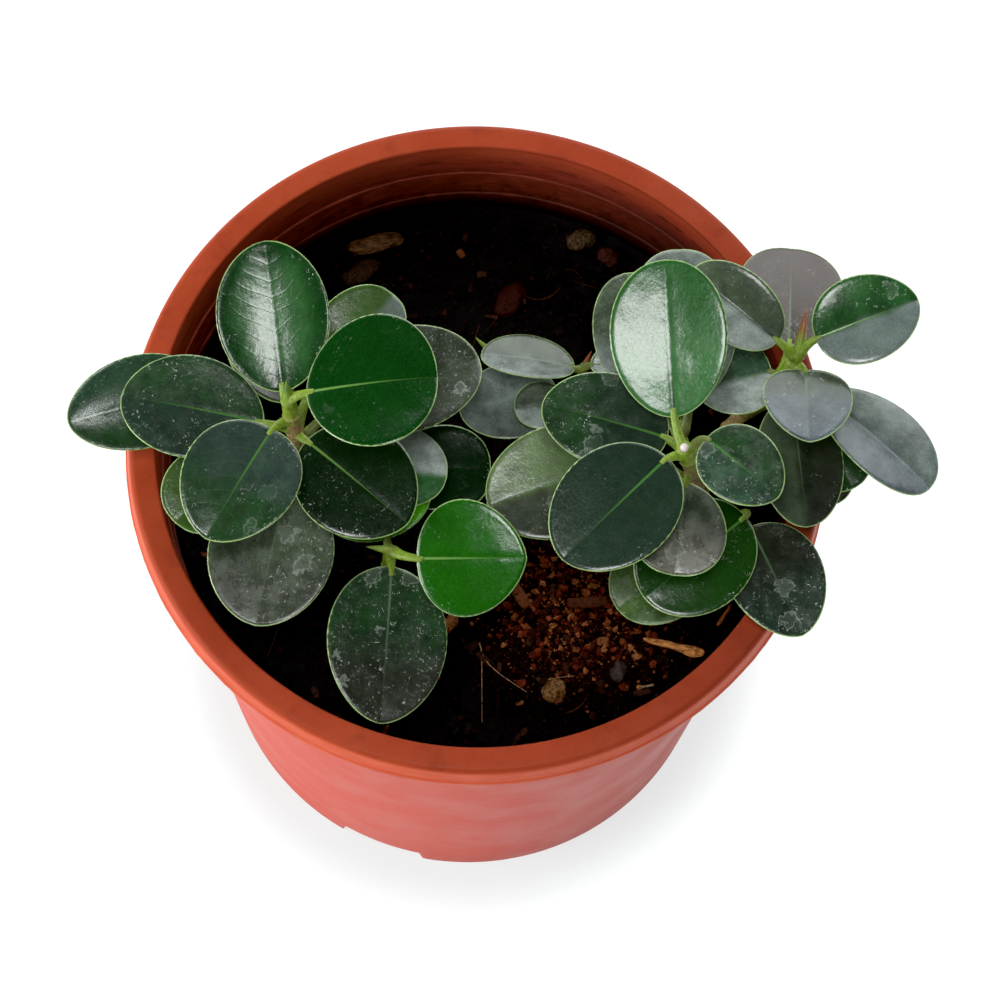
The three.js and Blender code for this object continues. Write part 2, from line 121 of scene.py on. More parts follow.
def rooted(x, y):
    """The foot of a stem that stands straight up in the soil at x, y."""
    return [(x, y, SOIL_Z - ROOT_DEPTH), (x, y, SOIL_Z - 2), (x, y, SOIL_Z + 6)]


# Colours, as sRGB
PALETTE = dict(
    fresh="185a06", spring="346e12", bright="58b020", glade="183e0e", leafy="2a5a2a", jade="3a6c3a",
    deep="08380a", night="062206", forest="1c3c1c", pine="1e3224", slate="2e4238", cocoa="38281a",
    ash="46543f", fog="5e6a62", mist="7a8680", pale="98a49e", lilac="5c686c", moss="4a6a30",
    sage="5a7046", spruce="2c4a34", haze="6c7a74", olive="384030", umber="22281c", taupe="545646",
    fern="38561f", rib_pale="6f9c4c", rib_green="4c8038", rib_dull="5c7656", rib_dark="173a18",
    stalk="86ab2e", stalk_dull="6a8034", bark="8a7148", bark_dark="54422c", bark_pale="b89a66",
    spike_red="a8482a", latex="f4ece6",
)

# Each stem is a smooth curve through its points: radii and colours at its root and tip, and
# from what fraction of its length on it is still green.
STEMS = {
    "left": ([*rooted(-50, -11), (-51, -10, 170), (-50.5, -9, 192), (-52, -6, 211)],
             (3.2, 2.3), ("bark_dark", "bark_pale"), 0.93),
    "leftTwig": ([(-50.8, -9.9, 172), (-60, -6, 180), (-69, -2, 185)], (1.9, 1.4), ("bark", "bark"), 0.7),
    "leftLowTwig": ([(-50.5, -10.5, 158), (-42, -10, 166), (-33, -9, 170)],
                    (1.8, 1.4), ("bark_dark", "bark"), 0.7),
    "front": ([*rooted(-22, -38), (-22.5, -37.5, 165), (-21.5, -36.5, 181)],
              (2.2, 1.9), ("bark", "bark_pale"), 0.8),
    "middle": ([*rooted(30, 20), (29, 22, 165), (28.5, 24, 178)], (2.1, 1.5), ("bark_dark", "bark"), 0.85),
    "middleTwig": ([(29.2, 21.2, 158), (27, 18.5, 165), (25.5, 17.5, 170)],
                   (1.4, 1.2), ("bark", "bark"), 0.8),
    "middleRunner": ([(29.6, 20.6, 152), (16, 25.5, 163), (1, 28.5, 176)],
                     (1.3, 0.8), ("bark_dark", "bark"), 0.75),
    "right": ([*rooted(67, -14), (66, -13.5, 170), (61, -14.8, 198), (56, -14, 219)],
              (3.2, 2.2), ("bark_dark", "bark"), 0.94),
    "rightBackTwig": ([(64, -14, 182), (60, -7, 189), (57, 0, 194)], (1.8, 1.3), ("bark", "bark"), 0.8),
    "rightFrontTwig": ([(66.4, -13.7, 162), (72, -17, 174), (75.5, -19, 183)],
                       (1.9, 1.5), ("bark_dark", "bark"), 0.75),
    "back": ([*rooted(62, 2), (71, 10, 175), (82, 17, 194), (87, 20.5, 208)],
             (2.8, 1.9), ("bark", "bark_pale"), 0.72),
}

# Which stems grow together in each leafy stem. The first one stands in the soil.
SHOOTS = {
    "shoot_left": ("left", "leftTwig", "leftLowTwig"),
    "shoot_front": ("front",),
    "shoot_middle": ("middle", "middleTwig", "middleRunner"),
    "shoot_right": ("right", "rightBackTwig", "rightFrontTwig"),
    "shoot_back_right": ("back",),
}

# Pointed buds at the stems' tips: stem, bearing, pitch, length, radius, colours at foot and tip.
BUDS = [
    ("left", 100, 60, 7, 1.8, "stalk", "spring"),
    ("leftTwig", 150, 40, 6, 1.2, "stalk_dull", "stalk"),
    ("leftLowTwig", 20, 40, 5, 1.2, "stalk_dull", "stalk"),
    ("front", 180, 12, 7, 1.3, "stalk", "stalk"),
    ("middle", 60, 55, 6.5, 1, "stalk_dull", "spike_red"),
    ("middleTwig", 200, 40, 5, 1, "stalk_dull", "stalk"),
    ("middleRunner", 150, 30, 5, 0.9, "stalk_dull", "stalk"),
    ("right", -60, 70, 2.2, 1.3, "bark", "latex"),
    ("rightBackTwig", 105, 40, 5, 1.1, "stalk_dull", "stalk"),
    ("rightFrontTwig", -70, 50, 5, 1.3, "stalk_dull", "stalk"),
    ("back", 85, 32, 13, 1.7, "stalk", "spike_red"),
]

# Leaves, a row for each. The first fields give the blade's place and form, as in the model's source
# but for a few small turns, bends and folds. Then come its main colour, its second colour and where
# that lies, the colour of its midrib, how much pale film and how many lime specks lie on it, where
# the specks are, how plain its side veins are, and how its halves rise from the midrib.
LEAF_FIELDS = (
    "stem x y z bearing pitch roll length width bend fold foot point "
    "main second second_zone rib film specks speck_zone veins arch"
).split()
# Some blades' colours are painted light. Painted sheen and light: the pale left half of the back leaf at
# bearing 145, the haze right half of the back leaf at 24, the lilac of the back leaves at -86 and -38 and the
# haze left half of the latter, the pale left half of the back leaf at -162, the mist of the middle leaves at
# 178 and 6, the slate foot of the left leaf at -114 and the pale of the left leaf at -5. Painted shadow: the
# olive left half of the rightBackTwig leaf at -157, cast by the leaf above it, and in part the night green of
# the left leaf at -36, which is also its own dark green.
LEAF_TABLE = """
left -54 -2 207 102 16.5 -5 42 31.5 9 9 0.56 0.57 leafy deep rim rib_dark 0.05 0.4 rim 0.45 bowl
left -47 -5 215 7 12 -3 36.5 39.5 16 6 0.59 0.48 deep deep all rib_pale 0 0.25 right 0.04 soft
left -59 -9 200 174 2 -2 40 30 16 5 0.58 0.55 pine forest right rib_green 0.15 0.6 all 0.05 soft
leftTwig -77 5 190 -157 4 -17 40 26.5 16 10 0.53 0.57 forest spruce right rib_green 0.1 0.35 tip 0.1 bowl
left -56 -12 204 -114 0 0 36.5 32.5 18 8 0.49 0.58 slate forest tip rib_green 0.1 0.4 left 0.25 soft
left -52 -23 185 -97 -3 2 39.5 35 9 4 0.49 0.55 ash olive tip rib_dull 0.4 1 left 0.05 soft
left -47 -12 197 -36 -2 2 37 32.5 14 0.5 0.53 0.58 night night all rib_pale 0.05 0.6 right 0.04 soft
left -38 2 191 25 0 0 40.5 32 16 6 0.44 0.51 olive olive tip rib_dull 0.2 1 tip 0.04 soft
left -46 6 196 53 10 0 33 24 16 8 0.5 0.45 fern fog right rib_dull 0.1 0.15 all 0.1 soft
left -41 -12 185 -5 0 2 33.5 25 14 6 0.5 0.46 pale leafy right rib_dull 0.2 0.2 all 0.05 soft
leftLowTwig -25 -9 172 3 0 2 29.5 26 14 6 0.53 0.41 night night all rib_dark 0 0.2 tip 0.05 soft
leftTwig -65 -15 188 -128 0 -2 26.5 24.5 14 6 0.5 0.45 fern fern right rib_dull 0.05 0.25 all 0.15 soft
left -54 2 190 133 4 14 23.5 15.5 14 8 0.54 0.45 olive ash tip rib_dull 0.3 0.5 all 0.05 soft
front -14 -40 186 1 12 22 31 32.5 12 -2 0.47 0.63 fresh fresh all rib_pale 0 0.3 left 0.06 soft
front -21 -41 180 -89 -2 -10 45 33.5 12 3 0.53 0.59 forest umber tip rib_dull 0.17 0.9 all 0.08 soft
front -23 -32 177 112 0 1 29 34 14 6 0.46 0.51 bright bright all rib_pale 0 0.1 all 0.1 soft
right 53 -5 218 98 17 -11 43 32 11 4 0.54 0.49 jade leafy tip rib_dark 0 0.1 foot 0.08 flat
right 52 -16 216 -131 -4 0 40.5 32.5 10 3 0.51 0.55 pine pine all rib_green 0.05 0.15 tip 0.05 soft
right 62 -10 217 -37 0 2 25.5 22 14 3 0.46 0.58 forest spruce right rib_green 0.3 1 right 0.05 soft
right 52 -8 210 170 4 -3 35.5 27 14 3 0.49 0.55 pine forest tip rib_green 0.15 0.7 tip 0.06 soft
right 58 -19 206 -94 -4 -1 26.5 25.5 16 4 0.55 0.42 olive taupe tip rib_dull 0.5 0.8 tip 0.05 soft
rightBackTwig 52 6 195 111 5 -7 42 27.5 14 6 0.48 0.52 mist ash tip rib_dull 0.3 0.3 all 0.05 soft
rightBackTwig 58 7 202 97 1 0 45.5 29.5 14 6 0.5 0.45 fog fog left rib_dull 0.4 0.2 all 0.05 soft
rightBackTwig 45 -6 188 -157 -2 -6 44 32.5 14 3 0.51 0.5 sage olive left rib_green 0.1 0.5 tip 0.15 soft
rightFrontTwig 76 -22 191 -136 -2 -11 37 31 14 6 0.52 0.5 glade glade all rib_green 0 0.2 all 0.04 soft
rightFrontTwig 78 -22 183 -63 2 0 35 27.5 14 6 0.48 0.59 umber pine tip rib_dull 0.2 1 tip 0.05 soft
rightFrontTwig 69 -23 172 -140 -4 -1 34 27 14 6 0.5 0.48 ash moss tip rib_dull 0.4 0.8 all 0.05 soft
middle 26 23 180 178 4 29 27 19.5 14 8 0.5 0.49 mist ash right rib_dull 0.3 0.4 all 0.05 crease
middleTwig 22 19 170 -163 0 -1 29 23.5 14 6 0.49 0.55 haze fog left rib_dull 0.4 0.2 all 0.05 soft
middleTwig 25 14 176 -167 0 -1 15.5 14.5 12 6 0.5 0.47 ash pale left rib_dull 0.3 0.1 all 0.05 soft
middle 30.5 24 181 6 4 0 12 9.5 10 20 0.49 0.51 mist mist tip rib_dull 0.3 0.1 all 0.6 soft
back 81 23 211 145 6 -19 31 20.5 16 12 0.48 0.5 ash pale left rib_dark 0.15 0.4 tip 0.2 crease
back 91 24 212 24 8 11 30.5 25 12 12 0.47 0.58 leafy haze right rib_pale 0.05 0.8 left 0.08 crease
back 89 17 206 -86 14 -2 24.5 25 12 8 0.46 0.59 lilac ash foot rib_dull 0.1 0.5 all 0.05 soft
back 85 26 201 90 -14 1 35 30 14 6 0.52 0.49 cocoa cocoa all rib_dull 0.1 0.8 foot 0.08 soft
back 81 20 196 -162 -2 -1 22.5 23 14 10 0.44 0.55 spruce pale left rib_dull 0.35 0.1 all 0.1 soft
back 94 14 198 -38 -4 -19 41 26.5 14 8 0.63 0.48 lilac haze left rib_dark 0.3 0.05 all 0.1 crease
back 87 13 193 -81 -2 -6 37.5 24.5 14 6 0.49 0.5 umber ash right rib_dull 0.1 0.15 all 0.05 soft
back 92 15 188 -61 -2 3 28.5 22 14 6 0.51 0.46 forest forest all rib_dull 0.05 0.5 all 0.05 soft
back 89 15 184 -64 -2 0 31 20 14 6 0.49 0.52 olive umber tip rib_dull 0.2 0.2 all 0.05 soft
"""


def number(word):
    """The word itself, or the number that it stands for."""
    return word if word[0].isalpha() else float(word)


LEAVES = [dict(zip(LEAF_FIELDS, map(number, row.split()))) for row in LEAF_TABLE.strip().splitlines()]

# Loose bits lying in the soil: place, length, width and height, bearing, light and dark colour.
BITS = {
    "twig": ((61, -47.5), (18, 3.4, 3), -10, "f0a860", "9a5428"),
    "nugget": ((27.5, -63), (7.5, 6, 5), 55, "a06c28", "0e0804"),
    "dark_pebble": ((45.5, -56), (6, 4.6, 3.6), 80, "4a342c", "140c0a"),
    "long_bark_chip": ((-35.5, 71), (17, 5.5, 3.2), 18, "6e4a2a", "241408"),
    "flat_bark_chip": ((-39, 61.5), (12, 6, 3), 35, "3e2818", "160c06"),
    "tan_stone": ((26, 78), (9, 6, 4.5), 20, "5e4830", "20140c"),
    "red_stone": ((34.5, 73), (7, 5, 4), -40, "4a2218", "1c0a06"),
    "red_chunk": ((6, 57), (12, 7, 4.5), 60, "44180f", "180804"),
    "orange_chip": ((-4, -45), (6, 4, 3.2), 60, "dc9458", "8a4a22"),
}

# Colours of the soil's crumbs and of the flakes of bark in it. Crumbs in the lit patch are painted lighter
# and redder as a painted pool of light; the others are near black, the soil's own dark colour darkened
# further as painted shade.
DARK_SHADED_CRUMBS = ("030202", "080504", "120806", "1c0d08", "040303", "34180e")
LIT_PATCH_CRUMBS = (
    "7c331b", "501f11", "98502c", "2c120a", "100806", "b06c3e", "3e170c", "0a0a0c", "622414", "1c0c08",
)
PALE_BARK = ("6a3a20", "8a5230", "3c2014", "4a2a1a")
DARK_BARK = ("24120b", "180c08", "3c2014")

# Fibres that the photograph shows: points on the soil, and how thick they are
SHOWN_FIBRES = [
    ([(5, -50), (7, -55), (10.7, -58.5), (19.7, -63.7)], 0.22),
    ([(6, -54), (6.8, -64), (7.6, -74)], 0.2),
    ([(23, -60.5), (28, -59), (33, -58)], 0.2),
    ([(62, -62), (66, -56), (71, -52)], 0.25),
    ([(-22, -58), (-16, -57), (-11, -58)], 0.15),
]

# Flakes of bark that the photograph shows: place, bearing, size and colour
SHOWN_FLAKES = [
    ((35.5, -36), 8, (12, 3.6, 1), "5c301c"),
    ((15.5, -35.5), 125, (9, 3.4, 1.4), "8a5030"),
    ((54, -60), 15, (4, 0.7, 0.4), "a88c70"),
    ((75, -37), 62, (8, 1, 0.8), "c06a3a"),
]


def linear(colour):
    """The linear RGBA of a palette name or a six-digit sRGB colour."""
    digits = PALETTE.get(colour, colour)
    channels = [int(digits[i : i + 2], 16) / 255 for i in (0, 2, 4)]
    light = [c / 12.92 if c <= 0.04045 else ((c + 0.055) / 1.055) ** 2.4 for c in channels]
    return np.array([*light, 1.0])


def mix(a, b, t):
    return a + (b - a) * t


def tints(a, b, shares):
    """A colour between two others for each share."""
    return mix(linear(a), linear(b), np.reshape(shares, (-1, 1)))


def smooth(low, high, value):
    """0 below low, 1 above high, with a smooth rise between them."""
    t = np.clip((np.asarray(value, float) - low) / (high - low), 0, 1)
    return t * t * (3 - 2 * t)


def bump(distance, width):
    """A rounded bump: 1 at distance 0, and nearly 0 at twice the width."""
    return np.exp(-((np.asarray(distance, float) / width) ** 2))


def noise_at(points, size, octaves=1, seed=0):
    """Smooth noise from about -1 to 1 with features of that size, at each point."""
    shift = Vector((seed * 17.3, seed * 9.1, seed * 5.7))
    values = np.zeros(len(points))
    weight, total = 1.0, 0.0
    for octave in range(octaves):
        scale = 2**octave / size
        values += weight * np.array([noise.noise(Vector(p) * scale + shift) for p in points])
        total += weight
        weight *= 0.5
    return values / total


ATTRIBUTE_KINDS = {1: ("FLOAT", "value"), 3: ("FLOAT_VECTOR", "vector"), 4: ("FLOAT_COLOR", "color")}


class Shape:
    """Gathers points in millimetres, faces and values at the points, and makes them one mesh."""

    def __init__(self):
        self.blocks = []
        self.faces = []
        self.count = 0

    def add(self, points, faces, **values):
        self.faces += [(np.asarray(face) + self.count).tolist() for face in faces]
        self.blocks.append((points, values))
        self.count += len(points)

    def build(self, name, *materials):
        """Numbers become a value, triples a vector and quadruples a colour at each point."""
        mesh = bpy.data.meshes.new(name)
        points = np.concatenate([points for points, _ in self.blocks])
        mesh.from_pydata((points * MM).tolist(), [], self.faces)
        for key in sorted(self.blocks[0][1]):
            parts = [np.reshape(values[key], (len(points), -1)) for points, values in self.blocks]
            data = np.concatenate(parts).astype(np.float32)
            kind, field = ATTRIBUTE_KINDS[data.shape[1]]
            mesh.attributes.new(key, kind, "POINT").data.foreach_set(field, data.ravel())
        for material in materials:
            mesh.materials.append(material)
        mesh.shade_smooth()
        return placed(name, mesh)


def placed(name, data):
    """A new object in the scene that holds the mesh, lamp or camera."""
    made = bpy.data.objects.new(name, data)
    bpy.context.scene.collection.objects.link(made)
    return made


def finish_piece(piece, slot, *nodes):
    """Lets a piece ride with the pot, in the place of CAD nodes where it stands for them."""
    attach(piece, "root")
    if nodes:
        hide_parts(*nodes)
    return piece


# Shader nodes


class Shader:
    """A material's or the world's nodes, with short ways to add and link them. Text is a colour."""

    def __init__(self, owner, surface="Principled BSDF"):
        owner.use_nodes = True
        self.material = owner
        self.tree = owner.node_tree
        self.surface = self.tree.nodes[surface]

    def node(self, kind, settings, *values, **inputs):
        made = self.tree.nodes.new("ShaderNode" + kind)
        for name, value in settings.items():
            setattr(made, name, value)
        for socket, value in zip(made.inputs, values):
            self.feed(socket, value)
        self.feed_all(made, inputs)
        return made

    def feed(self, socket, value):
        if isinstance(value, bpy.types.NodeSocket):
            self.tree.links.new(value, socket)
        else:
            socket.default_value = linear(value) if isinstance(value, str) else value

    def feed_all(self, node, inputs):
        for name, value in inputs.items():
            self.feed(node.inputs[name.replace("_", " ")], value)

    def set(self, **inputs):
        self.feed_all(self.surface, inputs)

    def attribute(self, name, output="Vector"):
        return self.node("Attribute", {"attribute_name": name}).outputs[output]

    def place(self):
        """The point's own place in millimetres."""
        return self.scaled(self.node("TexCoord", {}).outputs["Object"], 1 / MM)

    def scaled(self, vector, factor):
        """The vector or colour times a number."""
        return self.node("VectorMath", {"operation": "SCALE"}, vector, Scale=factor).outputs[0]

    def stretched(self, vector, scale):
        """The vector with each part times its own number."""
        return self.node("Mapping", {}, vector, Scale=scale).outputs[0]

    def split(self, vector):
        return self.node("SeparateXYZ", {}, vector).outputs

    def math(self, operation, a, b=0.0, clamp=False):
        return self.node("Math", {"operation": operation, "use_clamp": clamp}, a, b).outputs[0]

    def times(self, first, *others):
        for other in others:
            first = self.math("MULTIPLY", first, other)
        return first

    def plus(self, first, *others):
        for other in others:
            first = self.math("ADD", first, other)
        return first

    def rise(self, value, low, high, start=0.0, end=1.0):
        """Goes smoothly from start to end as value goes from low to high."""
        curve = {"interpolation_type": "SMOOTHSTEP"}
        return self.node("MapRange", curve, value, low, high, start, end).outputs["Result"]

    def blend(self, share, a, b):
        made = self.node("Mix", {"data_type": "RGBA"}, share)
        self.feed(made.inputs[6], a)
        self.feed(made.inputs[7], b)
        return made.outputs[2]

    def coats(self, colour, *coats):
        """The colour under coats of others, each given with its share."""
        for share, coat in coats:
            colour = self.blend(share, colour, coat)
        return colour

    def noise(self, vector, size, detail=3.0, roughness=0.5, output="Fac"):
        """Noise from 0 to 1 with features of that size in millimetres."""
        inputs = dict(Vector=vector, Scale=1 / size, Detail=detail, Roughness=roughness)
        return self.node("TexNoise", {}, **inputs).outputs[output]

    def cells(self, vector, size):
        """Scattered dots: how far the point is from the nearest one, and that dot's own colour."""
        made = self.node("TexVoronoi", {}, Vector=vector, Scale=1 / size)
        return made.outputs["Distance"], made.outputs["Color"]

    def relief(self, height, depth):
        """Raises the surface by up to depth millimetres, in its shading."""
        self.set(Normal=self.node("Bump", {}, Height=height, Distance=depth * MM).outputs[0])


def leaf_material():
    """A leathery leaf: midrib, side veins, pale margin, dusty film and dried lime."""
    s = Shader(bpy.data.materials.new("leaf_skin"))
    along, across, edge = s.split(s.attribute("blade_mm"))
    spot = s.attribute("blade_spot")
    _, _, t = s.split(spot)
    film, specks, veins = s.split(s.attribute("blade_look"))
    rib_colour = s.attribute("blade_rib", "Color")
    clean = s.attribute("blade_tint", "Color")
    off_rib = s.math("ABSOLUTE", across)

    cloud = s.noise(spot, 6, 4, 0.6)
    grain = s.noise(spot, 0.6, 2)
    mottled = s.scaled(clean, s.rise(cloud, 0.3, 0.7, 0.6, 1.3))
    dirty = s.rise(s.plus(film, s.times(specks, 0.3)), 0.0, 0.4, 0.25, 1.0)
    colour = s.scaled(s.blend(dirty, clean, mottled), s.rise(grain, 0.3, 0.7, 0.88, 1.12))

    # Side veins leave the midrib forwards and curve on towards the tip.
    sweep = s.plus(s.times(off_rib, VEIN_LEAN), s.times(s.math("POWER", off_rib, 2.0), VEIN_CURVE))
    course = s.plus(s.math("SUBTRACT", along, sweep), s.times(s.noise(spot, 9, 0), 3.0))
    vein = s.rise(s.math("PINGPONG", course, VEIN_SPACING / 2), 0.05, 0.45, 1.0, 0.0)
    vein = s.times(vein, s.rise(edge, 1.0, 5.0), veins)

    # Dusty film with cloudy borders
    patches = s.rise(s.noise(spot, 5, 5, 0.65), 0.34, 0.74, 0.1, 1.2)
    dust = s.math("MULTIPLY", film, patches, clamp=True)

    # Dried drops with a paler rim
    warp = s.noise(spot, 2, 3, output="Color")
    bent = s.node("VectorMath", {"operation": "MULTIPLY_ADD"}, warp, (6, 6, 0), spot).outputs[0]
    from_drop, drop_colour = s.cells(bent, 1 / 0.12)
    chosen = s.rise(s.split(drop_colour)[0], 0.66, 0.7)
    ring = s.rise(s.math("ABSOLUTE", s.math("SUBTRACT", from_drop, 0.3)), 0.005, 0.05, 0.6, 0.0)
    disc = s.math("MAXIMUM", ring, s.rise(from_drop, 0.25, 0.3, 0.14, 0.0))
    stain = s.times(disc, chosen, s.rise(specks, 0.1, 0.8, 0.0, 0.9))

    # Lime in dots and flakes, which lie in clusters
    cluster = s.plus(s.noise(spot, 8, 3, 0.6), s.times(specks, 0.27), s.rise(edge, 0.5, 5.0, 0.1, 0.0))
    cluster = s.times(s.rise(cluster, 0.55, 0.85), s.rise(specks, 0.0, 0.1))
    dots = s.rise(s.cells(bent, 0.9)[0], 0.12, 0.3, 1.0, 0.0)
    dots = s.times(dots, s.rise(s.noise(spot, 1.1, 1), 0.5, 0.6))
    flakes = s.rise(s.noise(bent, 1.3, 5, 0.8), 0.6, 0.72)
    lime = s.times(s.math("MAXIMUM", dots, flakes), cluster)
    lime = s.math("MAXIMUM", lime, s.times(stain, s.rise(flakes, 0.0, 1.0, 0.55, 1.0)))

    # Midrib and margin
    width = s.rise(t, 0.0, 1.0, 0.32, 0.04)
    rib = s.rise(s.math("SUBTRACT", off_rib, width), -0.12, 0.2, 1.0, 0.0)
    rib = s.times(rib, s.rise(t, 0.1, 1.0, 0.9, 0.12))
    margin = s.times(s.rise(edge, 0.1, 0.42, 1.0, 0.0), s.rise(cloud, 0.3, 0.6, 0.55, 1.0))

    above = s.coats(
        colour,
        (s.times(vein, 0.3), rib_colour),
        (s.times(dust, 0.4), "8a9088"),
        (s.times(lime, 0.85), "ccd6cc"),
        (rib, rib_colour),
        (margin, "a8c880"),
    )
    below = s.coats("64803e", (s.times(vein, 0.6), "8aa25a"), (rib, "a3b86a"))
    rough = s.plus(s.times(dust, 0.4), s.times(lime, 0.3), s.rise(grain, 0.3, 0.7, 0.17, 0.23))
    s.set(Base_Color=s.blend(s.attribute("blade_top", "Fac"), below, above), Roughness=rough)
    # Fine leathery grain, and on the clean glossy leaves soft wrinkles
    wrinkles = s.times(s.noise(spot, 8, 1), s.rise(film, 0.0, 0.04, 3.0, 0.0))
    s.relief(s.plus(s.times(vein, -0.5), s.noise(spot, 1.8, 3, 0.6), wrinkles), 0.06)
    return s.material


def stem_material():
    """Stems, stalks and buds: ridged bark with pale pores, and smooth green skin."""
    s = Shader(bpy.data.materials.new("stem_skin"))
    place = s.place()
    woody = s.attribute("stem_woody", "Fac")
    streaks = s.noise(s.stretched(place, (1, 1, 0.22)), 0.8, 4, 0.65)
    pores = s.times(s.rise(s.cells(place, 1.4)[0], 0.12, 0.3, 1.0, 0.0), woody)
    colour = s.coats(
        s.attribute("stem_tint", "Color"),
        (s.rise(streaks, 0.35, 0.7, 0.45, 0.0), "4a3a1e"),
        (s.rise(s.noise(place, 3, 3), 0.45, 0.75, 0.0, 0.35), "a3b04c"),
        (s.times(pores, 0.6), "d8c296"),
    )
    s.set(Base_Color=colour, Roughness=s.plus(s.rise(streaks, 0.3, 0.8, 0.34, 0.48), s.times(woody, 0.25)))
    s.relief(s.times(s.plus(streaks, pores), s.rise(woody, 0.0, 1.0, 0.25, 1.0)), 0.3)
    return s.material


def pot_material():
    """Satin terracotta plastic with dust, scuffs and soil splashes inside; its rim's top, its inside and its
    right side are painted darker as painted shade.
    """
    s = Shader(bpy.data.materials.new("terracotta_plastic"))
    place = s.place()
    x, _, z = s.split(place)
    flow = s.stretched(place, (1, 1, 5))
    mottle = s.noise(place, 22, 4, 0.6)
    lines = s.noise(flow, 12, 4, 0.7)
    cloudy = s.rise(mottle, 0.3, 0.7)

    # Each part lies between two colours, and goes on to a darker one towards the right as painted shade. The
    # rim's top is painted darker than its side and the body, as painted shade.
    body = s.coats("c64a38", (cloudy, "ca4e3c"), (s.rise(x, 0, 75, 0.0, 0.5), "963c32"))
    rim = s.coats(
        "a03c1e",
        (cloudy, "aa4424"),
        (s.rise(lines, 0.5, 0.75, 0.0, 0.4), "6c2412"),
        (s.rise(x, 10, 90, 0.0, 0.4), "80321f"),
    )
    skirt = s.blend(s.rise(lines, 0.3, 0.7), "c44e2e", "d05c3c")
    rim = s.blend(s.rise(z, POT_HEIGHT - 1.6, POT_HEIGHT - 0.5), skirt, rim)

    # The inner wall is painted darker than the outside, and darker still towards the right, as painted shade.
    # It is darker towards its foot, and smeared with soil.
    smears = s.times(s.rise(s.noise(place, 5, 5, 0.7), 0.5, 0.62), s.rise(z, 152, 172, 1.0, 0.0))
    wall = s.coats(
        "6c281a",
        (s.rise(s.noise(flow, 8, 4, 0.7), 0.4, 0.7), "883a28"),
        (s.rise(x, 0, 75, 0.0, 0.9), "2a0e0a"),
        (s.rise(z, SOIL_Z + 2, SOIL_Z + 16, 1.0, 0.0), "140604"),
        (s.times(smears, 0.7), "241008"),
    )

    # Pale dust on the outer wall, a dark line under the rim, and scuffs all over
    dusty = s.times(s.rise(s.noise(place, 9, 5, 0.7), 0.45, 0.75), s.rise(z, 20, 160, 0.06, 0.02))
    under = s.times(
        s.rise(z, RIM_SKIRT_Z - 2.2, RIM_SKIRT_Z - 0.6),
        s.rise(z, RIM_SKIRT_Z, RIM_SKIRT_Z + 0.5, 1.0, 0.0),
        s.rise(s.noise(place, 7, 3), 0.45, 0.62),
    )
    scuffs = s.rise(s.noise(flow, 3, 5, 0.8), 0.66, 0.74)
    colour = s.coats(
        body,
        (s.rise(z, RIM_SKIRT_Z - 1.5, RIM_SKIRT_Z - 0.5), rim),
        (dusty, "d8988c"),
        (under, "6a2c18"),
        (s.attribute("pot_inside", "Fac"), wall),
        (s.times(scuffs, 0.25), "e8b8a8"),
    )
    s.set(Base_Color=colour, Roughness=s.rise(mottle, 0.3, 0.7, 0.42, 0.56), Specular_IOR_Level=0.14)
    s.relief(s.plus(s.times(s.noise(place, 0.7, 2), 0.35), s.times(lines, 0.8)), 0.12)
    return s.material


def soil_material():
    """Moist dark potting mix, with each crumb's given colour on loose grains; the given colours hold the
    painted pool of light and the painted shade on the soil.
    """
    s = Shader(bpy.data.materials.new("potting_mix"))
    place = s.place()
    crumb = s.noise(place, 1.6, 5, 0.7)
    colour = s.coats(
        s.attribute("soil_tint", "Color"),
        (s.rise(crumb, 0.45, 0.8), "180c08"),
        (s.rise(s.noise(place, 0.9, 3), 0.5, 0.75, 0.0, 0.8), "040202"),
    )
    s.set(Base_Color=colour, Roughness=s.rise(crumb, 0.3, 0.7, 0.45, 0.9), Specular_IOR_Level=0.12)
    s.relief(s.noise(place, 0.8, 4, 0.7), 0.6)
    return s.material


def bit_material(name, light, dark, long_grain, wet):
    """A weathered chip or stone: grain or mottling between a light and a dark colour."""
    s = Shader(bpy.data.materials.new(name))
    place = s.attribute("bit_place")
    grain = s.noise(s.stretched(place, (0.2 if long_grain else 1, 1, 1)), 0.7, 4, 0.65)
    dirt = s.rise(s.noise(place, 2, 4, 0.7), 0.5, 0.7, 0.0, 0.7)
    colour = s.coats(dark, (s.rise(grain, 0.35, 0.65), light), (dirt, "1c0c07"))
    s.set(Base_Color=colour, Roughness=s.rise(grain, 0.3, 0.7, 0.25 if wet else 0.5, 0.7))
    s.set(Specular_IOR_Level=0.5 if wet else 0.1)
    s.relief(grain, 0.5)
    return s.material


# Round and lofted forms


def tube(centres, radii, sides, flat=1.0):
    """A closed rod along a line of points, flattened to that share of its radius upwards."""
    centres = np.asarray(centres, float)
    heading = np.gradient(centres, axis=0)
    heading /= np.linalg.norm(heading, axis=1)[:, None]
    across = np.cross(heading[0], (0, 0, 1))
    if np.linalg.norm(across) < 0.05:
        across = np.array((1.0, 0, 0))
    turn = np.arange(sides) * 2 * np.pi / sides
    points = []
    for centre, ahead, radius in zip(centres, heading, radii):
        across = across - ahead * (across @ ahead)
        across /= np.linalg.norm(across)
        above = np.cross(ahead, across)
        ring = np.outer(np.cos(turn), across) + np.outer(np.sin(turn) * flat, above)
        points.append(centre + radius * ring)
    return np.concatenate(points), loft_faces(len(centres), sides)


def loft_faces(rings, sides):
    """Quads between closed rings, with one flat face at each end."""
    faces = [tuple(range(sides))[::-1], tuple(range((rings - 1) * sides, rings * sides))]
    for ring in range(rings - 1):
        for side in range(sides):
            a = ring * sides + side
            b = ring * sides + (side + 1) % sides
            faces.append((a, b, b + sides, a + sides))
    return faces


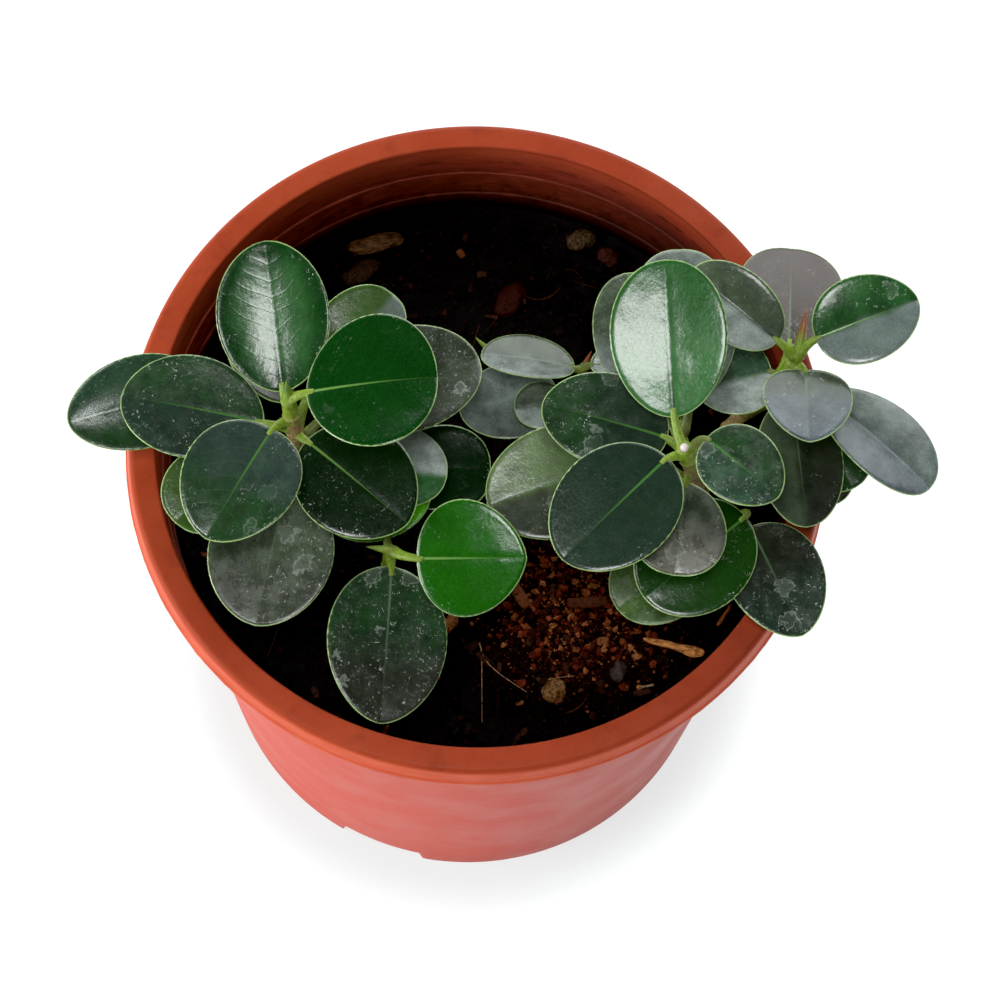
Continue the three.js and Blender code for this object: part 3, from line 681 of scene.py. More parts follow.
def catmull_rom(points, steps=240):
    """Evenly spaced points of the centripetal spline through the given points."""
    points = np.asarray(points, float)
    ends = 2 * points[0] - points[1], 2 * points[-1] - points[-2]
    knots = np.vstack([ends[0], points, ends[1]])
    curve = []
    for i in range(len(points) - 1):
        p0, p1, p2, p3 = knots[i : i + 4]
        d0, d1, d2 = (np.linalg.norm(b - a) ** 0.5 for a, b in ((p0, p1), (p1, p2), (p2, p3)))
        leave = ((p1 - p0) / d0 - (p2 - p0) / (d0 + d1) + (p2 - p1) / d1) * d1
        arrive = ((p2 - p1) / d1 - (p3 - p1) / (d1 + d2) + (p3 - p2) / d2) * d1
        for w in np.arange(0, 1, 1 / 60):
            cubic = 2 * p1 - 2 * p2 + leave + arrive
            square = -3 * p1 + 3 * p2 - 2 * leave - arrive
            curve.append(p1 + leave * w + square * w**2 + cubic * w**3)
    return resampled(np.array([*curve, points[-1]]), steps)


def resampled(points, steps):
    """The same line with that many equal steps."""
    lengths = np.r_[0, np.cumsum(np.linalg.norm(np.diff(points, axis=0), axis=1))]
    wanted = np.linspace(0, lengths[-1], steps + 1)
    return np.column_stack([np.interp(wanted, lengths, points[:, i]) for i in range(3)])


# Pot


def outer_radius(z):
    return mix(FOOT_RADIUS, NECK_RADIUS, z / NECK_Z)


def inner_radius(z):
    return outer_radius(z) - WALL


def pot_profile():
    """The wall's section as (radius, height, how round the corner is, 1 if it faces inwards)."""
    floor_top = FLOOR_Z + FLOOR_THICKNESS
    foot_inside = FOOT_RADIUS - FOOT_WALL
    top, below_top = POT_HEIGHT, POT_HEIGHT - RIM_THICKNESS
    skirt, skirt_z = RIM_SKIRT_RADIUS, RIM_SKIRT_Z
    inside = RIM_INNER_RADIUS
    return [
        (CENTRE_PAD_RADIUS - CENTRE_PAD_WALL, 0, 0.3, 0),
        (CENTRE_PAD_RADIUS, 1, 0.3, 0),
        (CENTRE_PAD_RADIUS, FLOOR_Z, 0.6, 0),
        (foot_inside, FLOOR_Z, 0.6, 0),
        (foot_inside, 0, 0.4, 0),
        (FOOT_RADIUS - 0.5, 0, 0.2, 0),
        (FOOT_RADIUS, 0.6, 0.2, 0),
        *((outer_radius(z), z, 0, 0) for z in (10, 14, 50, 90, 130)),
        (NECK_RADIUS, NECK_Z, 0.3, 0),
        (NECK_RADIUS, below_top - 1, 0.4, 0),
        (NECK_RADIUS + 1, below_top, 0.4, 0),
        (RIM_TOP_RADIUS - RIM_THICKNESS, below_top - 0.8, 0.5, 0),
        (skirt - RIM_THICKNESS, skirt_z, 0.15, 0),
        (skirt - 0.3, skirt_z, 0.15, 0),
        (skirt, skirt_z + 0.3, 0.2, 0),
        (skirt - 0.1, skirt_z + 1.2, 0.2, 0),
        (skirt - 0.5, skirt_z + 1.6, 0.2, 0),
        (RIM_TOP_RADIUS + 0.2, top - 1.2, 0.8, 0),
        (RIM_TOP_RADIUS - 1, top, 0.9, 0),
        (inside + 0.5, top, 0.4, 0),
        (inside, top - 0.5, 0.4, 0.4),
        (inside - 0.6, UPPER_STEP_Z, 0.25, 1),
        (inside - 0.6 - STEP_DEPTH, UPPER_STEP_Z - 0.3, 0.25, 1),
        (inside - 1.6, LOWER_STEP_Z, 0.25, 1),
        (inside - 1.6 - STEP_DEPTH, LOWER_STEP_Z - 0.3, 0.25, 1),
        (inner_radius(SOIL_Z), SOIL_Z, 0.4, 1),
        (inner_radius(floor_top), floor_top, 1.5, 1),
        (DRAIN_CIRCLE_RADIUS + 8, floor_top, 0, 1),
        (DRAIN_CIRCLE_RADIUS - 8, floor_top, 0, 1),
    ]


def rounded_profile(profile):
    """Puts a short arc at each corner of the section."""
    made = [profile[0]]
    for before, corner, after in zip(profile, profile[1:], profile[2:]):
        here = np.array(corner[:2], float)
        ends = [np.array(p[:2], float) - here for p in (before, after)]
        cut = min(corner[2], *(0.45 * np.linalg.norm(end) for end in ends))
        if cut <= 0:
            made.append(corner)
            continue
        start, stop = (here + end * cut / np.linalg.norm(end) for end in ends)
        for w in (0, 0.25, 0.5, 0.75, 1):
            spot = (1 - w) ** 2 * start + 2 * w * (1 - w) * here + w * w * stop
            made.append((*spot, corner[2], corner[3]))
    return [*made, profile[-1]]


def notch_lift(bearing):
    """How high the foot is cut away at a bearing: each notch is flat with slanting sides."""
    lift = np.zeros_like(bearing)
    for notch in range(NOTCHES):
        centre = math.radians(NOTCH_BEARING + notch * 360 / NOTCHES)
        off = np.abs((bearing - centre + np.pi) % (2 * np.pi) - np.pi) * FOOT_RADIUS
        lift = np.maximum(lift, NOTCH_HEIGHT * smooth(NOTCH_WIDTH / 2 + 0.8, NOTCH_WIDTH / 2 - 0.8, off))
    return lift


def pot():
    """The moulded shell with its stepped wall, rim, notched foot and drain holes."""
    profile = rounded_profile(pot_profile())
    bearing = np.arange(POT_SIDES) * 2 * np.pi / POT_SIDES
    rings = (np.repeat([column], POT_SIDES, axis=0).T for column in zip(*profile))
    radius, height, _, inwards = rings

    # The foot's ring is cut away at the notches, under the floor's level.
    foot = (radius > CENTRE_PAD_RADIUS + 1) & (height < NOTCH_HEIGHT) & (inwards == 0)
    lift = notch_lift(bearing)[None, :]
    height = np.where(foot, np.maximum(height, lift + height * (1 - lift / NOTCH_HEIGHT)), height)

    # Ragged flash along the mould's parting line, at the rim's lower edge
    ring = np.column_stack([np.cos(bearing), np.sin(bearing), np.zeros(POT_SIDES)]) * RIM_SKIRT_RADIUS
    ragged = np.clip(noise_at(ring, 5, 3, 4), 0, 1) + 0.5 * np.clip(noise_at(ring, 1.6, 2, 5), 0, 1)
    parting = bump(height - RIM_SKIRT_Z - 0.1, 0.35) * (radius > RIM_SKIRT_RADIUS - 1)
    height = height - parting * ragged * 0.9
    radius = radius + parting * ragged * 0.5 + 0.05 * noise_at(ring, 40, 2, 6)

    x, y = radius * np.cos(bearing), radius * np.sin(bearing)
    shape = Shape()
    shape.add(
        np.column_stack([x.ravel(), y.ravel(), height.ravel()]),
        loft_faces(len(profile), POT_SIDES),
        pot_inside=inwards.ravel(),
    )
    piece = shape.build("pot_shell", pot_material())
    cut_drain_holes(piece)
    finish_piece(piece, "pot_plastic", "pot")


def cut_drain_holes(piece):
    """Cuts the round holes through the floor."""
    shape = Shape()
    for hole in range(DRAIN_HOLES):
        x, y = DRAIN_CIRCLE_RADIUS * direction(hole * 360 / DRAIN_HOLES, 0)[:2]
        centres = [(x, y, z) for z in (FLOOR_Z - 4, FLOOR_Z + FLOOR_THICKNESS + 4)]
        shape.add(*tube(centres, (DRAIN_HOLE_RADIUS, DRAIN_HOLE_RADIUS), 32))
    cutter = shape.build("drain_cutter")
    holes = piece.modifiers.new("drain_holes", "BOOLEAN")
    holes.operation = "DIFFERENCE"
    holes.solver = "EXACT"
    holes.object = cutter
    bpy.context.view_layer.update()
    seen = piece.evaluated_get(bpy.context.evaluated_depsgraph_get())
    mesh = bpy.data.meshes.new_from_object(seen)
    piece.modifiers.clear()
    piece.data = mesh
    bpy.data.objects.remove(cutter)


# Soil


def soil_height(x, y):
    """Height of the soil's lumpy top: heaped towards the back, with swells and shorter lumps."""
    heap = SOIL_HEAP * ((y + FOOT_RADIUS) / (2 * FOOT_RADIUS)) ** 2
    swell = 1.4 * np.sin(x / 19 + 1.1) * np.cos(y / 23 - 0.4)
    lumps = 0.7 * np.sin(x / 6.1 + y / 9.3) * np.sin(y / 5.3 - x / 13.7 + 0.8)
    return SOIL_Z + heap + swell + lumps


def lit_patch_share(x, y):
    """1 in the lit patch at the front right, painted lighter and redder as a painted pool of light, falling
    to 0 on the black soil around it.
    """
    return 1 - smooth(18, 40, np.hypot(x - LIT_PATCH_CENTRE[0], (y - LIT_PATCH_CENTRE[1]) * 1.05))


def soil():
    """The body of soil that fills the pot, with a rough top."""
    edge = inner_radius(SOIL_Z - 4) - SOIL_GAP
    floor = FLOOR_Z + FLOOR_THICKNESS + SOIL_GAP
    bearing = np.arange(SOIL_SIDES) * 2 * np.pi / SOIL_SIDES
    radii = edge * np.linspace(1, 0.004, SOIL_RINGS)
    x = np.outer(radii, np.cos(bearing)).ravel()
    y = np.outer(radii, np.sin(bearing)).ravel()
    level = soil_height(x, y)
    flat = np.column_stack([x, y, level])
    rough = 1.3 * noise_at(flat, 7, 3, 1) + 1.1 * np.abs(noise_at(flat, 2.6, 3, 2)) - 0.5
    top = np.column_stack([x, y, level + rough * smooth(edge, edge - 3, np.hypot(x, y))])
    foot_radius = inner_radius(floor) - SOIL_GAP
    foot = np.column_stack([foot_radius * np.cos(bearing), foot_radius * np.sin(bearing)])
    points = np.concatenate([np.insert(foot, 2, floor, axis=1), top])
    # The soil's top is painted lighter and redder in the lit patch: a painted pool of light.
    tint = tints("040202", "220d07", lit_patch_share(points[:, 0], points[:, 1]))
    shape = Shape()
    shape.add(points, loft_faces(SOIL_RINGS + 1, SOIL_SIDES), soil_tint=tint)
    finish_piece(shape.build("soil_body", soil_material()), "potting_soil", "soil")


def icosphere(subdivisions):
    """Points and faces of a unit sphere made of even triangles."""
    sphere = bmesh.new()
    bmesh.ops.create_icosphere(sphere, subdivisions=subdivisions, radius=1)
    points = np.array([v.co for v in sphere.verts])
    faces = [[v.index for v in f.verts] for f in sphere.faces]
    sphere.free()
    return points, faces


def anywhere(draw, edge, full_turn=6.3):
    """A random place within that distance from the middle."""
    radius, turn = edge * math.sqrt(draw.random()), draw.uniform(0, full_turn)
    return radius * math.cos(turn), radius * math.sin(turn)


def one_of(draw, choices):
    """One of the choices, drawn at random."""
    return choices[draw.integers(len(choices))]


def evenly(colour, points):
    """One colour for each point."""
    return np.tile(linear(colour), (len(points), 1))


def soil_piece(shape, name, slot):
    """Loose things in the soil, as one piece of their own that stands for no CAD node."""
    return finish_piece(shape.build(name, bpy.data.materials["potting_mix"]), slot)


def crumbs(name, count, subdivisions, sizes, draw):
    """Loose crumbs strewn on the soil, more of them in the lit patch, where they are painted lighter and
    redder as a painted pool of light.
    """
    ball, faces = icosphere(subdivisions)
    shape = Shape()
    edge = inner_radius(SOIL_Z) - 3
    for _ in range(count):
        if draw.random() < 0.6:
            x, y = (middle + draw.normal(0, CRUMB_SPREAD) for middle in CRUMB_HEAP)
        else:
            x, y = anywhere(draw, edge, 2 * math.pi)
        size = draw.uniform(*sizes) * draw.uniform(0.5, 1)
        spread = draw.uniform(0.55, 1, 3)
        lumps = 1 + 0.22 * np.sin(ball @ draw.normal(0, 2.6, 3) + draw.uniform(0, 6))
        lumps += draw.normal(0, 0.17, len(ball))
        turned = np.array(Matrix.Rotation(draw.uniform(0, 6.3), 3, draw.normal(0, 1, 3)))
        # Crumbs in the lit patch take the painted-light colours, the others the near-black painted-shade
        # ones.
        colour = one_of(draw, LIT_PATCH_CRUMBS if draw.random() < lit_patch_share(x, y) else DARK_SHADED_CRUMBS)
        if math.hypot(x, y) > edge - size:
            continue
        points = (ball * lumps[:, None] * spread * size / 2) @ turned.T
        points += (x, y, soil_height(x, y) + 0.2 * size + 0.35)
        shape.add(points, faces, soil_tint=evenly(colour, points))
    soil_piece(shape, name, "potting_soil").data.shade_flat()


def fibres(draw):
    """Thin dry roots and bark fibres, lying curved on the soil: the shown ones, then random ones."""
    shape = Shape()
    edge = inner_radius(SOIL_Z) - 6
    strands = [(catmull_rom([(x, y, 0) for x, y in spots], 14), girth) for spots, girth in SHOWN_FIBRES]
    for _ in range(FIBRES):
        start = np.array(anywhere(draw, edge))
        heading, bend, length = draw.uniform(0, 6.3), draw.normal(0, 0.9), draw.uniform(5, 20)
        steps = np.linspace(0, 1, 12)
        turn = heading + bend * steps
        line = start[:, None] + np.cumsum([np.cos(turn), np.sin(turn)], axis=1) * length / 12
        if np.hypot(*line).max() < edge:
            strands.append((np.column_stack([*line, steps * 0]), draw.uniform(0.08, 0.18)))
    for index, (line, radius) in enumerate(strands):
        arch = np.sin(np.linspace(0, math.pi, len(line)))
        line[:, 2] = soil_height(line[:, 0], line[:, 1]) + 0.9 + draw.uniform(0, 0.8) * arch
        points, faces = tube(line, radius * (1 - 0.5 * np.linspace(0, 1, len(line))), 5)
        colour = "b08460" if index < len(SHOWN_FIBRES) else one_of(draw, ("6a3c22", "4c2a18", "3a2012"))
        shape.add(points, faces, soil_tint=evenly(colour, points))
    soil_piece(shape, "fibres", "bark_bits")


def bark_flakes(draw):
    """Flat flakes of bark: the shown ones lie level, the small ones at odd angles."""
    shape = Shape()
    edge = inner_radius(SOIL_Z) - 6
    ball, faces = icosphere(2)
    boxy = np.sign(ball) * np.abs(ball) ** 0.55 / 2
    for (x, y), bearing, size, colour in SHOWN_FLAKES:
        turn = np.array(Matrix.Rotation(math.radians(bearing), 3, "Z"))
        points = (boxy * size + draw.normal(0, 0.1, ball.shape)) @ turn.T
        points += (x, y, soil_height(x, y) + 2.2)
        shape.add(points, faces, soil_tint=evenly(colour, points))
    for _ in range(FLAKES):
        x, y = anywhere(draw, edge)
        size = np.array([draw.uniform(2, 6), draw.uniform(1, 2.4), draw.uniform(0.4, 0.9)])
        tilt = Matrix.Rotation(draw.uniform(0, 6.3), 3, "Z") @ Matrix.Rotation(draw.normal(0, 0.35), 3, "Y")
        tilt = np.array(tilt @ Matrix.Rotation(draw.normal(0, 0.3), 3, "X"))
        points = (boxy * size + draw.normal(0, 0.06, ball.shape)) @ tilt.T
        points += (x, y, soil_height(x, y) + 0.9)
        # Pale bark is drawn more often in the lit patch, partly as painted light.
        pale = draw.random() < 0.25 + lit_patch_share(x, y)
        shape.add(points, faces, soil_tint=evenly(one_of(draw, PALE_BARK if pale else DARK_BARK), points))
    soil_piece(shape, "bark_flakes", "bark_bits")


def bit(name):
    """One chip or stone, with the model's form and a rougher surface."""
    (x, y), (length, width, height), bearing, light, dark = BITS[name]
    rings, sides = 26, 24
    long_grain = length > 2.5 * width
    along = np.repeat(np.linspace(-0.985, 0.985, rings), sides)
    angle = np.tile(np.arange(sides) * 2 * np.pi / sides, rings)
    girth = (1 - along**2) ** 0.35 * (1 + 0.12 * np.sin(3 * angle + 8 * (along + 0.94) / 1.88 + len(name)))
    own = np.column_stack([along * length, girth * width * np.cos(angle), girth * height * np.sin(angle)]) / 2
    points = own * (1 + 0.14 * noise_at(own, 1.6, 3, len(name)))[:, None]
    if name == "twig":
        points[:, 1:] *= mix(0.62, 1.15, smooth(1, 6, own[:, 0]))[:, None]
    turn = np.array(Matrix.Rotation(math.radians(bearing), 3, "Z"))
    lift = (1 - 2 * BIT_SINK) * height / 2 + (1.1 if long_grain else 0.5)
    points = points @ turn.T + (x, y, soil_height(x, y) + lift)
    shape = Shape()
    shape.add(points, loft_faces(rings, sides), bit_place=own)
    slot = "stone_bits" if "stone" in name or "pebble" in name or name == "nugget" else "bark_bits"
    material = bit_material(name + "_surface", light, dark, long_grain, name in ("nugget", "dark_pebble"))
    finish_piece(shape.build(name + "_weathered", material), slot, name)


# Stems

LINES = {name: catmull_rom(points) for name, (points, *_) in STEMS.items()}


def stem_at_height(name, height):
    """The point of a stem that is nearest to a given height, as far as the stem reaches."""
    line = LINES[name][::4]
    return line[np.argmin(np.abs(line[:, 2] - height))]


def direction(bearing, pitch):
    heading, rise = math.radians(bearing), math.radians(pitch)
    return np.array([math.cos(rise) * math.cos(heading), math.cos(rise) * math.sin(heading), math.sin(rise)])


def add_stem(shape, name):
    """A jointed stem: swollen rings at its nodes, woody at the foot and green at the tip."""
    line, sides = LINES[name], 16
    _, radii, colours, green_from = STEMS[name]
    t = np.linspace(0, 1, len(line))
    length = np.linalg.norm(np.diff(line, axis=0), axis=1).sum()
    away = np.abs((t * length) % STEM_JOINTS - STEM_JOINTS / 2)
    radius = mix(*radii, t) * (0.93 + 0.16 * bump(away, 0.7) + 0.07 * noise_at(line, 4, 2, 3))
    points, faces = tube(line, radius, sides)
    along = np.repeat(t, sides)
    green = smooth(green_from - 0.08, green_from + 0.04, along)
    scar = np.repeat(bump(away, 0.35), sides)[:, None]
    tint = mix(tints(*colours, along), linear("stalk"), green[:, None])
    tint = mix(tint, linear("bark_dark"), 0.65 * scar)
    points += (0.05 * noise_at(points, 1.2, 2, 8))[:, None]
    shape.add(points, faces, stem_tint=tint, stem_woody=1 - green)


def add_bud(shape, stem, bearing, pitch, length, radius, foot, tip):
    """A pointed bud, or the round drop of latex on a cut stub."""
    sides = 14
    w = np.linspace(0, 1, 14)
    line = LINES[stem][-1] + np.outer(mix(-1, length, w), direction(bearing, pitch))
    if tip == "latex":
        girth = radius * np.sqrt(np.clip(1 - w**4, 0.02, 1))
    else:
        girth = mix(radius, 0.12, w**1.4) * (1 + 0.12 * np.sin(w * 3))
    points, faces = tube(line, girth, sides)
    along = np.repeat(w, sides)
    shape.add(points, faces, stem_tint=tints(foot, tip, smooth(0.3, 0.75, along)), stem_woody=along * 0)


# Leaves


def blade_base(leaf):
    return np.array([leaf[axis] for axis in "xyz"])


def blade_axes(leaf):
    """The blade's own axes: along the midrib, out to the left edge, and up from the face."""
    along = direction(leaf["bearing"], leaf["pitch"])
    heading, roll = math.radians(leaf["bearing"]), math.radians(leaf["roll"])
    level = np.array([-math.sin(heading), math.cos(heading), 0])
    left = level * math.cos(roll) + np.cross(along, level) * math.sin(roll)
    return along, left, np.cross(along, left)


def half_width(leaf, t):
    """Half the blade's width at a fraction t of the way from base to tip."""
    widest = leaf["foot"] / (leaf["foot"] + leaf["point"])
    return leaf["width"] / 2 * (t / widest) ** leaf["foot"] * ((1 - t) / (1 - widest)) ** leaf["point"]


def blade_points(leaf, t, side):
    """Points of the blade's middle surface, and the direction up from it at each."""
    along, left, up = blade_axes(leaf)
    bend, fold = math.radians(leaf["bend"]), math.radians(leaf["fold"])
    radius = leaf["length"] / (2 * math.sin(bend / 2))
    slope = (bend / 2 - bend * t)[:, None]
    normal = up * np.cos(slope) - along * np.sin(slope)
    reach = (half_width(leaf, t) * side)[:, None]
    arch = ARCHES[leaf["arch"]](np.abs(side))[:, None]
    lift = half_width(leaf, t)[:, None] * arch * math.sin(fold)
    points = (
        blade_base(leaf)
        + along * radius * (math.sin(bend / 2) - np.sin(slope))
        + up * radius * (np.cos(slope) - math.cos(bend / 2))
        + left * reach * math.cos(fold)
        + normal * lift
    )
    return points, normal


def blade_grid():
    """Where the blade's points lie: t along the midrib and side across, crowded at its edges."""
    t = (1 - np.cos(np.pi * np.arange(1, BLADE_ROWS) / BLADE_ROWS)) / 2
    u = np.linspace(-1, 1, BLADE_COLUMNS)
    side = np.sign(u) * (0.45 * np.abs(u) + 0.55 * u**2 * (3 - 2 * np.abs(u)))
    grid_t, grid_side = np.meshgrid(t, side, indexing="ij")
    return np.r_[0, grid_t.ravel(), 1], np.r_[0, grid_side.ravel(), 0]


def blade_faces():
    """Faces of the upper side, the lower side and the rounded edge between them."""
    rows, columns = BLADE_ROWS, BLADE_COLUMNS
    tip = 1 + (rows - 1) * columns
    below = tip + 1

    def at(row, column):
        return 1 + (row - 1) * columns + column

    upper = []
    for column in range(columns - 1):
        upper.append((0, at(1, column), at(1, column + 1)))
        for row in range(1, rows - 1):
            upper.append((at(row, column), at(row + 1, column), at(row + 1, column + 1), at(row, column + 1)))
        upper.append((tip, at(rows - 1, column + 1), at(rows - 1, column)))
    lower = [tuple(i + below for i in reversed(face)) for face in upper]
    right = [at(row, 0) for row in range(1, rows)]
    left = [at(row, columns - 1) for row in range(rows - 1, 0, -1)]
    rim = [0, *right, tip, *left]
    band = []
    for i, a in enumerate(rim):
        b = rim[(i + 1) % len(rim)]
        outer_a = 2 * below + i
        outer_b = 2 * below + (i + 1) % len(rim)
        band.append((a, outer_a, outer_b, b))
        band.append((outer_a, a + below, b + below, outer_b))
    return [*upper, *lower, *band], np.array(rim)


def zone_mask(zone, t, side, wobble):
    """1 inside a named part of the blade and 0 outside it, with a soft uneven border."""
    t = t + 0.12 * wobble
    side = side + 0.2 * wobble
    borders = {
        "tip": (0.35, 0.7, t),
        "foot": (0.55, 0.2, t),
        "left": (-0.12, 0.2, side),
        "right": (0.12, -0.2, side),
        "rim": (0.45, 0.9, np.maximum(np.abs(side), np.abs(2 * t - 1))),
    }
    return smooth(*borders[zone]) if zone in borders else np.ones_like(t)


ARCHES = {
    "flat": lambda side: 0.6 * side + 0.4 * side**2,
    "soft": lambda side: 0.3 * side + 0.7 * side**2,
    "crease": lambda side: 1.6 * side - 0.6 * side**2,
    "bowl": lambda side: side**2,
}
GRID_T, GRID_SIDE = blade_grid()
BLADE_FACES, BLADE_RIM = blade_faces()


def edge_distance(leaf, along, across):
    """How far each point of the flat blade is from its outline, in millimetres."""
    t = (1 - np.cos(np.linspace(0, np.pi, 120))) / 2
    reach = half_width(leaf, t)
    outline_along = np.r_[t, t] * leaf["length"]
    outline_across = np.r_[reach, -reach]
    return np.hypot(along[:, None] - outline_along, across[:, None] - outline_across).min(axis=1)


def add_blade(shape, leaf, index):
    """A leaf's blade. Its index sets its own part of the noise."""
    t, side, rim = GRID_T, GRID_SIDE, BLADE_RIM
    middle, normal = blade_points(leaf, t, side)
    along = t * leaf["length"]
    across = half_width(leaf, t) * side
    edge = edge_distance(leaf, along, across)
    apart = along + 90 * index
    flat = np.column_stack([apart, across, t * 0])

    # Relief: slow waves, pillows between the side veins, a groove over the midrib and a rib under it
    wave = 0.12 * noise_at(flat, 11, 2, 9) * smooth(0, 3, edge)
    course = along - VEIN_LEAN * np.abs(across) - VEIN_CURVE * across**2
    pillow = 0.05 * leaf["veins"] * np.cos(2 * np.pi * course / VEIN_SPACING) * smooth(0.5, 4, edge)
    groove = 0.16 * bump(across, 0.7) * (1 - t) ** 0.4
    ridge = 0.75 * bump(across, 0.85) * (1 - 0.8 * t) * smooth(0, 2, edge)
    half = BLADE_THICKNESS / 2 * mix(0.3, 1, smooth(0, 0.9, edge))
    upper = middle + normal * (half + wave + pillow - groove)[:, None]
    lower = middle + normal * (wave - half - ridge)[:, None]

    inner, _ = blade_points(leaf, np.clip(t[rim], 0.02, 0.98), side[rim] * 0.92)
    outwards = middle[rim] - inner
    outwards /= np.linalg.norm(outwards, axis=1)[:, None]
    band = (upper[rim] + lower[rim]) / 2 + 0.08 * outwards

    wobble = noise_at(flat, 6, 2, 7)
    specks = leaf["specks"] * (0.3 + 0.7 * zone_mask(leaf["speck_zone"], t, side, wobble))
    values = dict(
        blade_mm=np.column_stack([along, across, edge]),
        blade_spot=np.column_stack([apart, across, t]),
        blade_look=np.column_stack([t * 0 + leaf["film"], specks, t * 0 + leaf["veins"]]),
        blade_tint=tints(leaf["main"], leaf["second"], zone_mask(leaf["second_zone"], t, side, wobble)),
        blade_rib=evenly(leaf["rib"], t),
    )
    values = {key: np.concatenate([given, given, given[rim]]) for key, given in values.items()}
    values["blade_top"] = np.r_[t * 0 + 1, t * 0, rim * 0 + 1]
    shape.add(np.concatenate([upper, lower, band]), BLADE_FACES, **values)


def add_stalk(shape, leaf):
    """The leaf's stalk, from the stem's axis to just inside the foot of the blade."""
    sides = 14
    along, _, up = blade_axes(leaf)
    base = blade_base(leaf)
    end = blade_points(leaf, np.array([0.06]), np.array([0.0]))[0][0] - up * BLADE_THICKNESS / 2
    reach = np.linalg.norm(base - stem_at_height(leaf["stem"], base[2]))
    root = stem_at_height(leaf["stem"], base[2] - 2 - 0.25 * reach)
    knee = base - along * 0.35 * np.linalg.norm(base - root)
    w = np.linspace(0, 1, 18)
    line = np.outer((1 - w) ** 2, root) + np.outer(2 * w * (1 - w), knee) + np.outer(w**2, end)
    radius = mix(1.6, 1.15, smooth(0, 0.8, w)) * (1 + 0.18 * bump(w - 0.12, 0.12))
    points, faces = tube(line, radius, sides, 0.8)
    scar = bump(np.repeat(w, sides) - 0.1, 0.07)
    skin = "stalk" if leaf["film"] < 0.2 else "stalk_dull"
    shape.add(points, faces, stem_tint=tints(skin, "bark_dark", 0.5 * scar), stem_woody=0.1 + 0.3 * scar)


def shoot(name, stems, leaf_skin, stem_skin):
    """A leafy stem in two pieces: its leaves, and its wood with the stalks and buds."""
    blades, wood = Shape(), Shape()
    for stem in stems:
        add_stem(wood, stem)
    for row in BUDS:
        if row[0] in stems:
            add_bud(wood, *row)
    for index, leaf in enumerate(LEAVES):
        if leaf["stem"] in stems:
            add_blade(blades, leaf, index)
            add_stalk(wood, leaf)
    finish_piece(blades.build(name + "_leaves", leaf_skin), "foliage", name)
    finish_piece(wood.build(name + "_stems", stem_skin), "foliage", name)


# Surroundings


def camera():
    """The photograph's view: its height over the horizon, its slight roll and its distance."""
    elevation, roll, distance = math.radians(69.83), math.radians(-4.479), 843.5
    target = Vector((7.73, -18.72, 180))
    back = Vector((0, -math.cos(elevation), math.sin(elevation)))
    level = Vector((1, 0, 0))
    rise = back.cross(level)
    x = level * math.cos(roll) - rise * math.sin(roll)
    y = level * math.sin(roll) + rise * math.cos(roll)
    seen = bpy.data.cameras.new("camera")
    seen.sensor_width = 36
    seen.lens = 108
    seen.clip_end = 20
    made = placed("camera", seen)
    turned = Matrix((x, y, back)).transposed().to_4x4()
    made.matrix_world = Matrix.Translation((target + back * distance) * MM) @ turned
    bpy.context.scene.camera = made


def softbox(name, forwards, sideways, distance, width, height, power, colour):
    """A soft lamp aimed at the plant, tilted from straight above towards the front and the right."""
    lamp = bpy.data.lights.new(name, "AREA")
    lamp.shape = "RECTANGLE"
    lamp.size, lamp.size_y = width, height
    lamp.energy = power
    lamp.color = colour
    aim = Vector((math.tan(math.radians(sideways)), -math.tan(math.radians(forwards)), 1)).normalized()
    centre = Vector((0, 0, POT_HEIGHT * MM))
    turned = aim.to_track_quat("Z", "Y").to_matrix().to_4x4()
    placed(name, lamp).matrix_world = Matrix.Translation(centre + aim * distance) @ turned


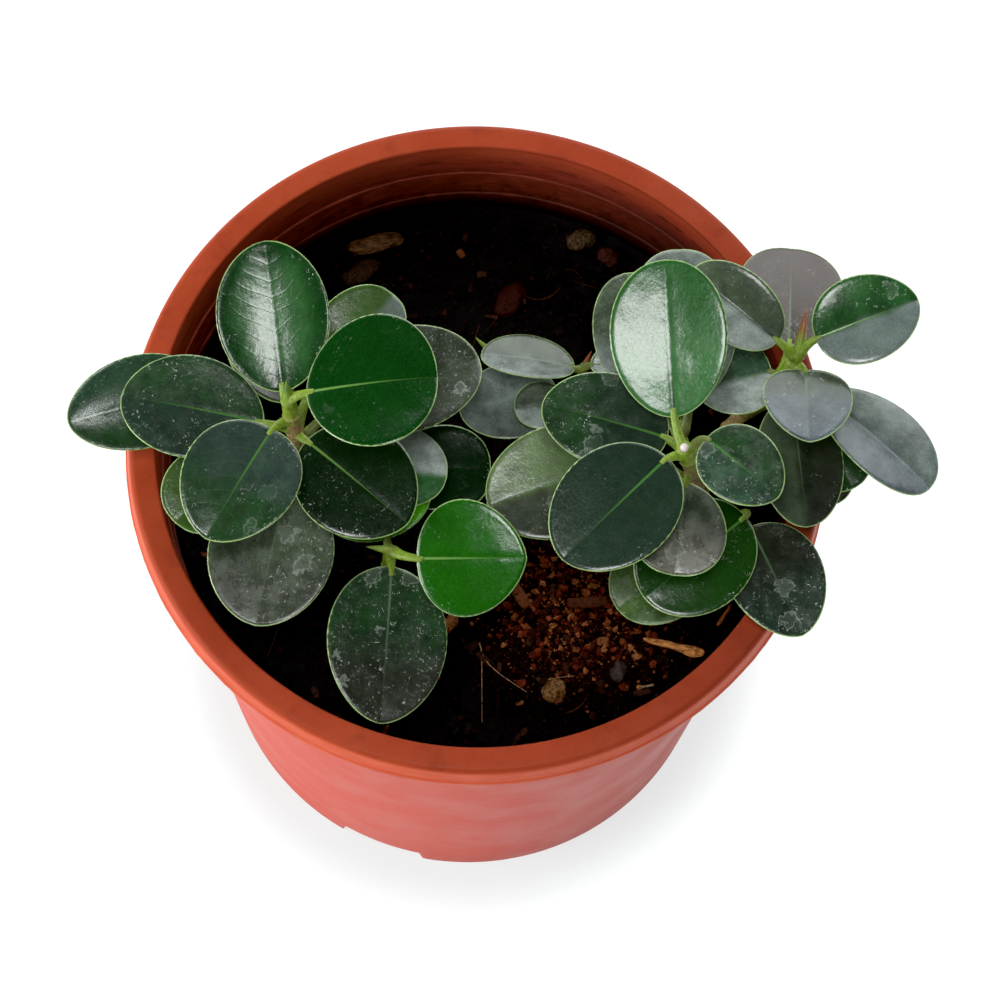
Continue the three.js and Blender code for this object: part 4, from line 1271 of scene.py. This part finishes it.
def surroundings():
    """A floor that glows white, with its glow painted dimmer round the foot as a painted soft shadow, and
    soft studio light.
    """
    world = bpy.data.worlds.new("studio")
    bpy.context.scene.world = world
    sky = Shader(world, "Background")
    x, _, z = sky.split(sky.node("TexCoord", {}).outputs["Generated"])
    glow = sky.times(sky.rise(z, 0.05, 0.65, 1.0, 0.03), sky.rise(x, -0.8, 0.8, 1.35, 0.25))
    sky.set(Color=(1, 1, 1, 1), Strength=glow)

    softbox("overhead", 12.5, -4.6, 1.5, 0.42, 0.42, 10, (1, 1, 1))
    softbox("window", -60, 24, 1.6, 1.9, 1.05, 21, (0.96, 0.98, 1))
    softbox("left_fill", 45, -72, 1.6, 0.8, 0.8, 17, (1, 0.99, 0.98))

    floor_mesh = bpy.data.meshes.new("floor")
    reach = 6
    corners = [(-reach, -reach, 0), (reach, -reach, 0), (reach, reach, 0), (-reach, reach, 0)]
    floor_mesh.from_pydata(corners, [], [(0, 1, 2, 3)])
    floor = placed("floor", floor_mesh)
    paint = Shader(bpy.data.materials.new("white_floor"))
    # Its colour is tinted cyan against the pot's red bounce light, and its glow is dimmer round the foot: a
    # painted soft shadow.
    paint.set(Base_Color=(0.2, 0.25, 0.255, 1), Roughness=0.9, Specular_IOR_Level=0.0)
    away = paint.node("VectorMath", {"operation": "LENGTH"}, paint.place()).outputs["Value"]
    glow = paint.rise(away, FOOT_RADIUS + 4, FOOT_RADIUS + 32, 0.71, 1.0)
    paint.set(Emission_Color=(1, 1, 1, 1), Emission_Strength=glow)
    floor_mesh.materials.append(paint.material)
    floor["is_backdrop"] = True


def develop():
    """Plain colours with the photograph's deep blacks."""
    view = bpy.context.scene.view_settings
    view.view_transform = "Standard"
    view.use_curve_mapping = True
    view.curve_mapping.black_level = (BLACK_LEVEL,) * 3
    view.curve_mapping.update()


camera()
surroundings()
develop()
pot()
soil()
draw = np.random.default_rng(SEED)
crumbs("coarse_crumbs", COARSE_CRUMBS, 2, (1.4, 3.4), draw)
crumbs("fine_crumbs", FINE_CRUMBS, 1, (0.7, 1.7), draw)
fibres(draw)
bark_flakes(draw)
for bit_name in BITS:
    bit(bit_name)
leaf_skin = leaf_material()
stem_skin = stem_material()
for shoot_name, shoot_stems in SHOOTS.items():
    shoot(shoot_name, shoot_stems, leaf_skin, stem_skin)

boxes = {"cad": CAD_BOX, "visual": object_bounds()}
boxes = {key: [[float(v) for v in corner] for corner in box] for key, box in boxes.items()}
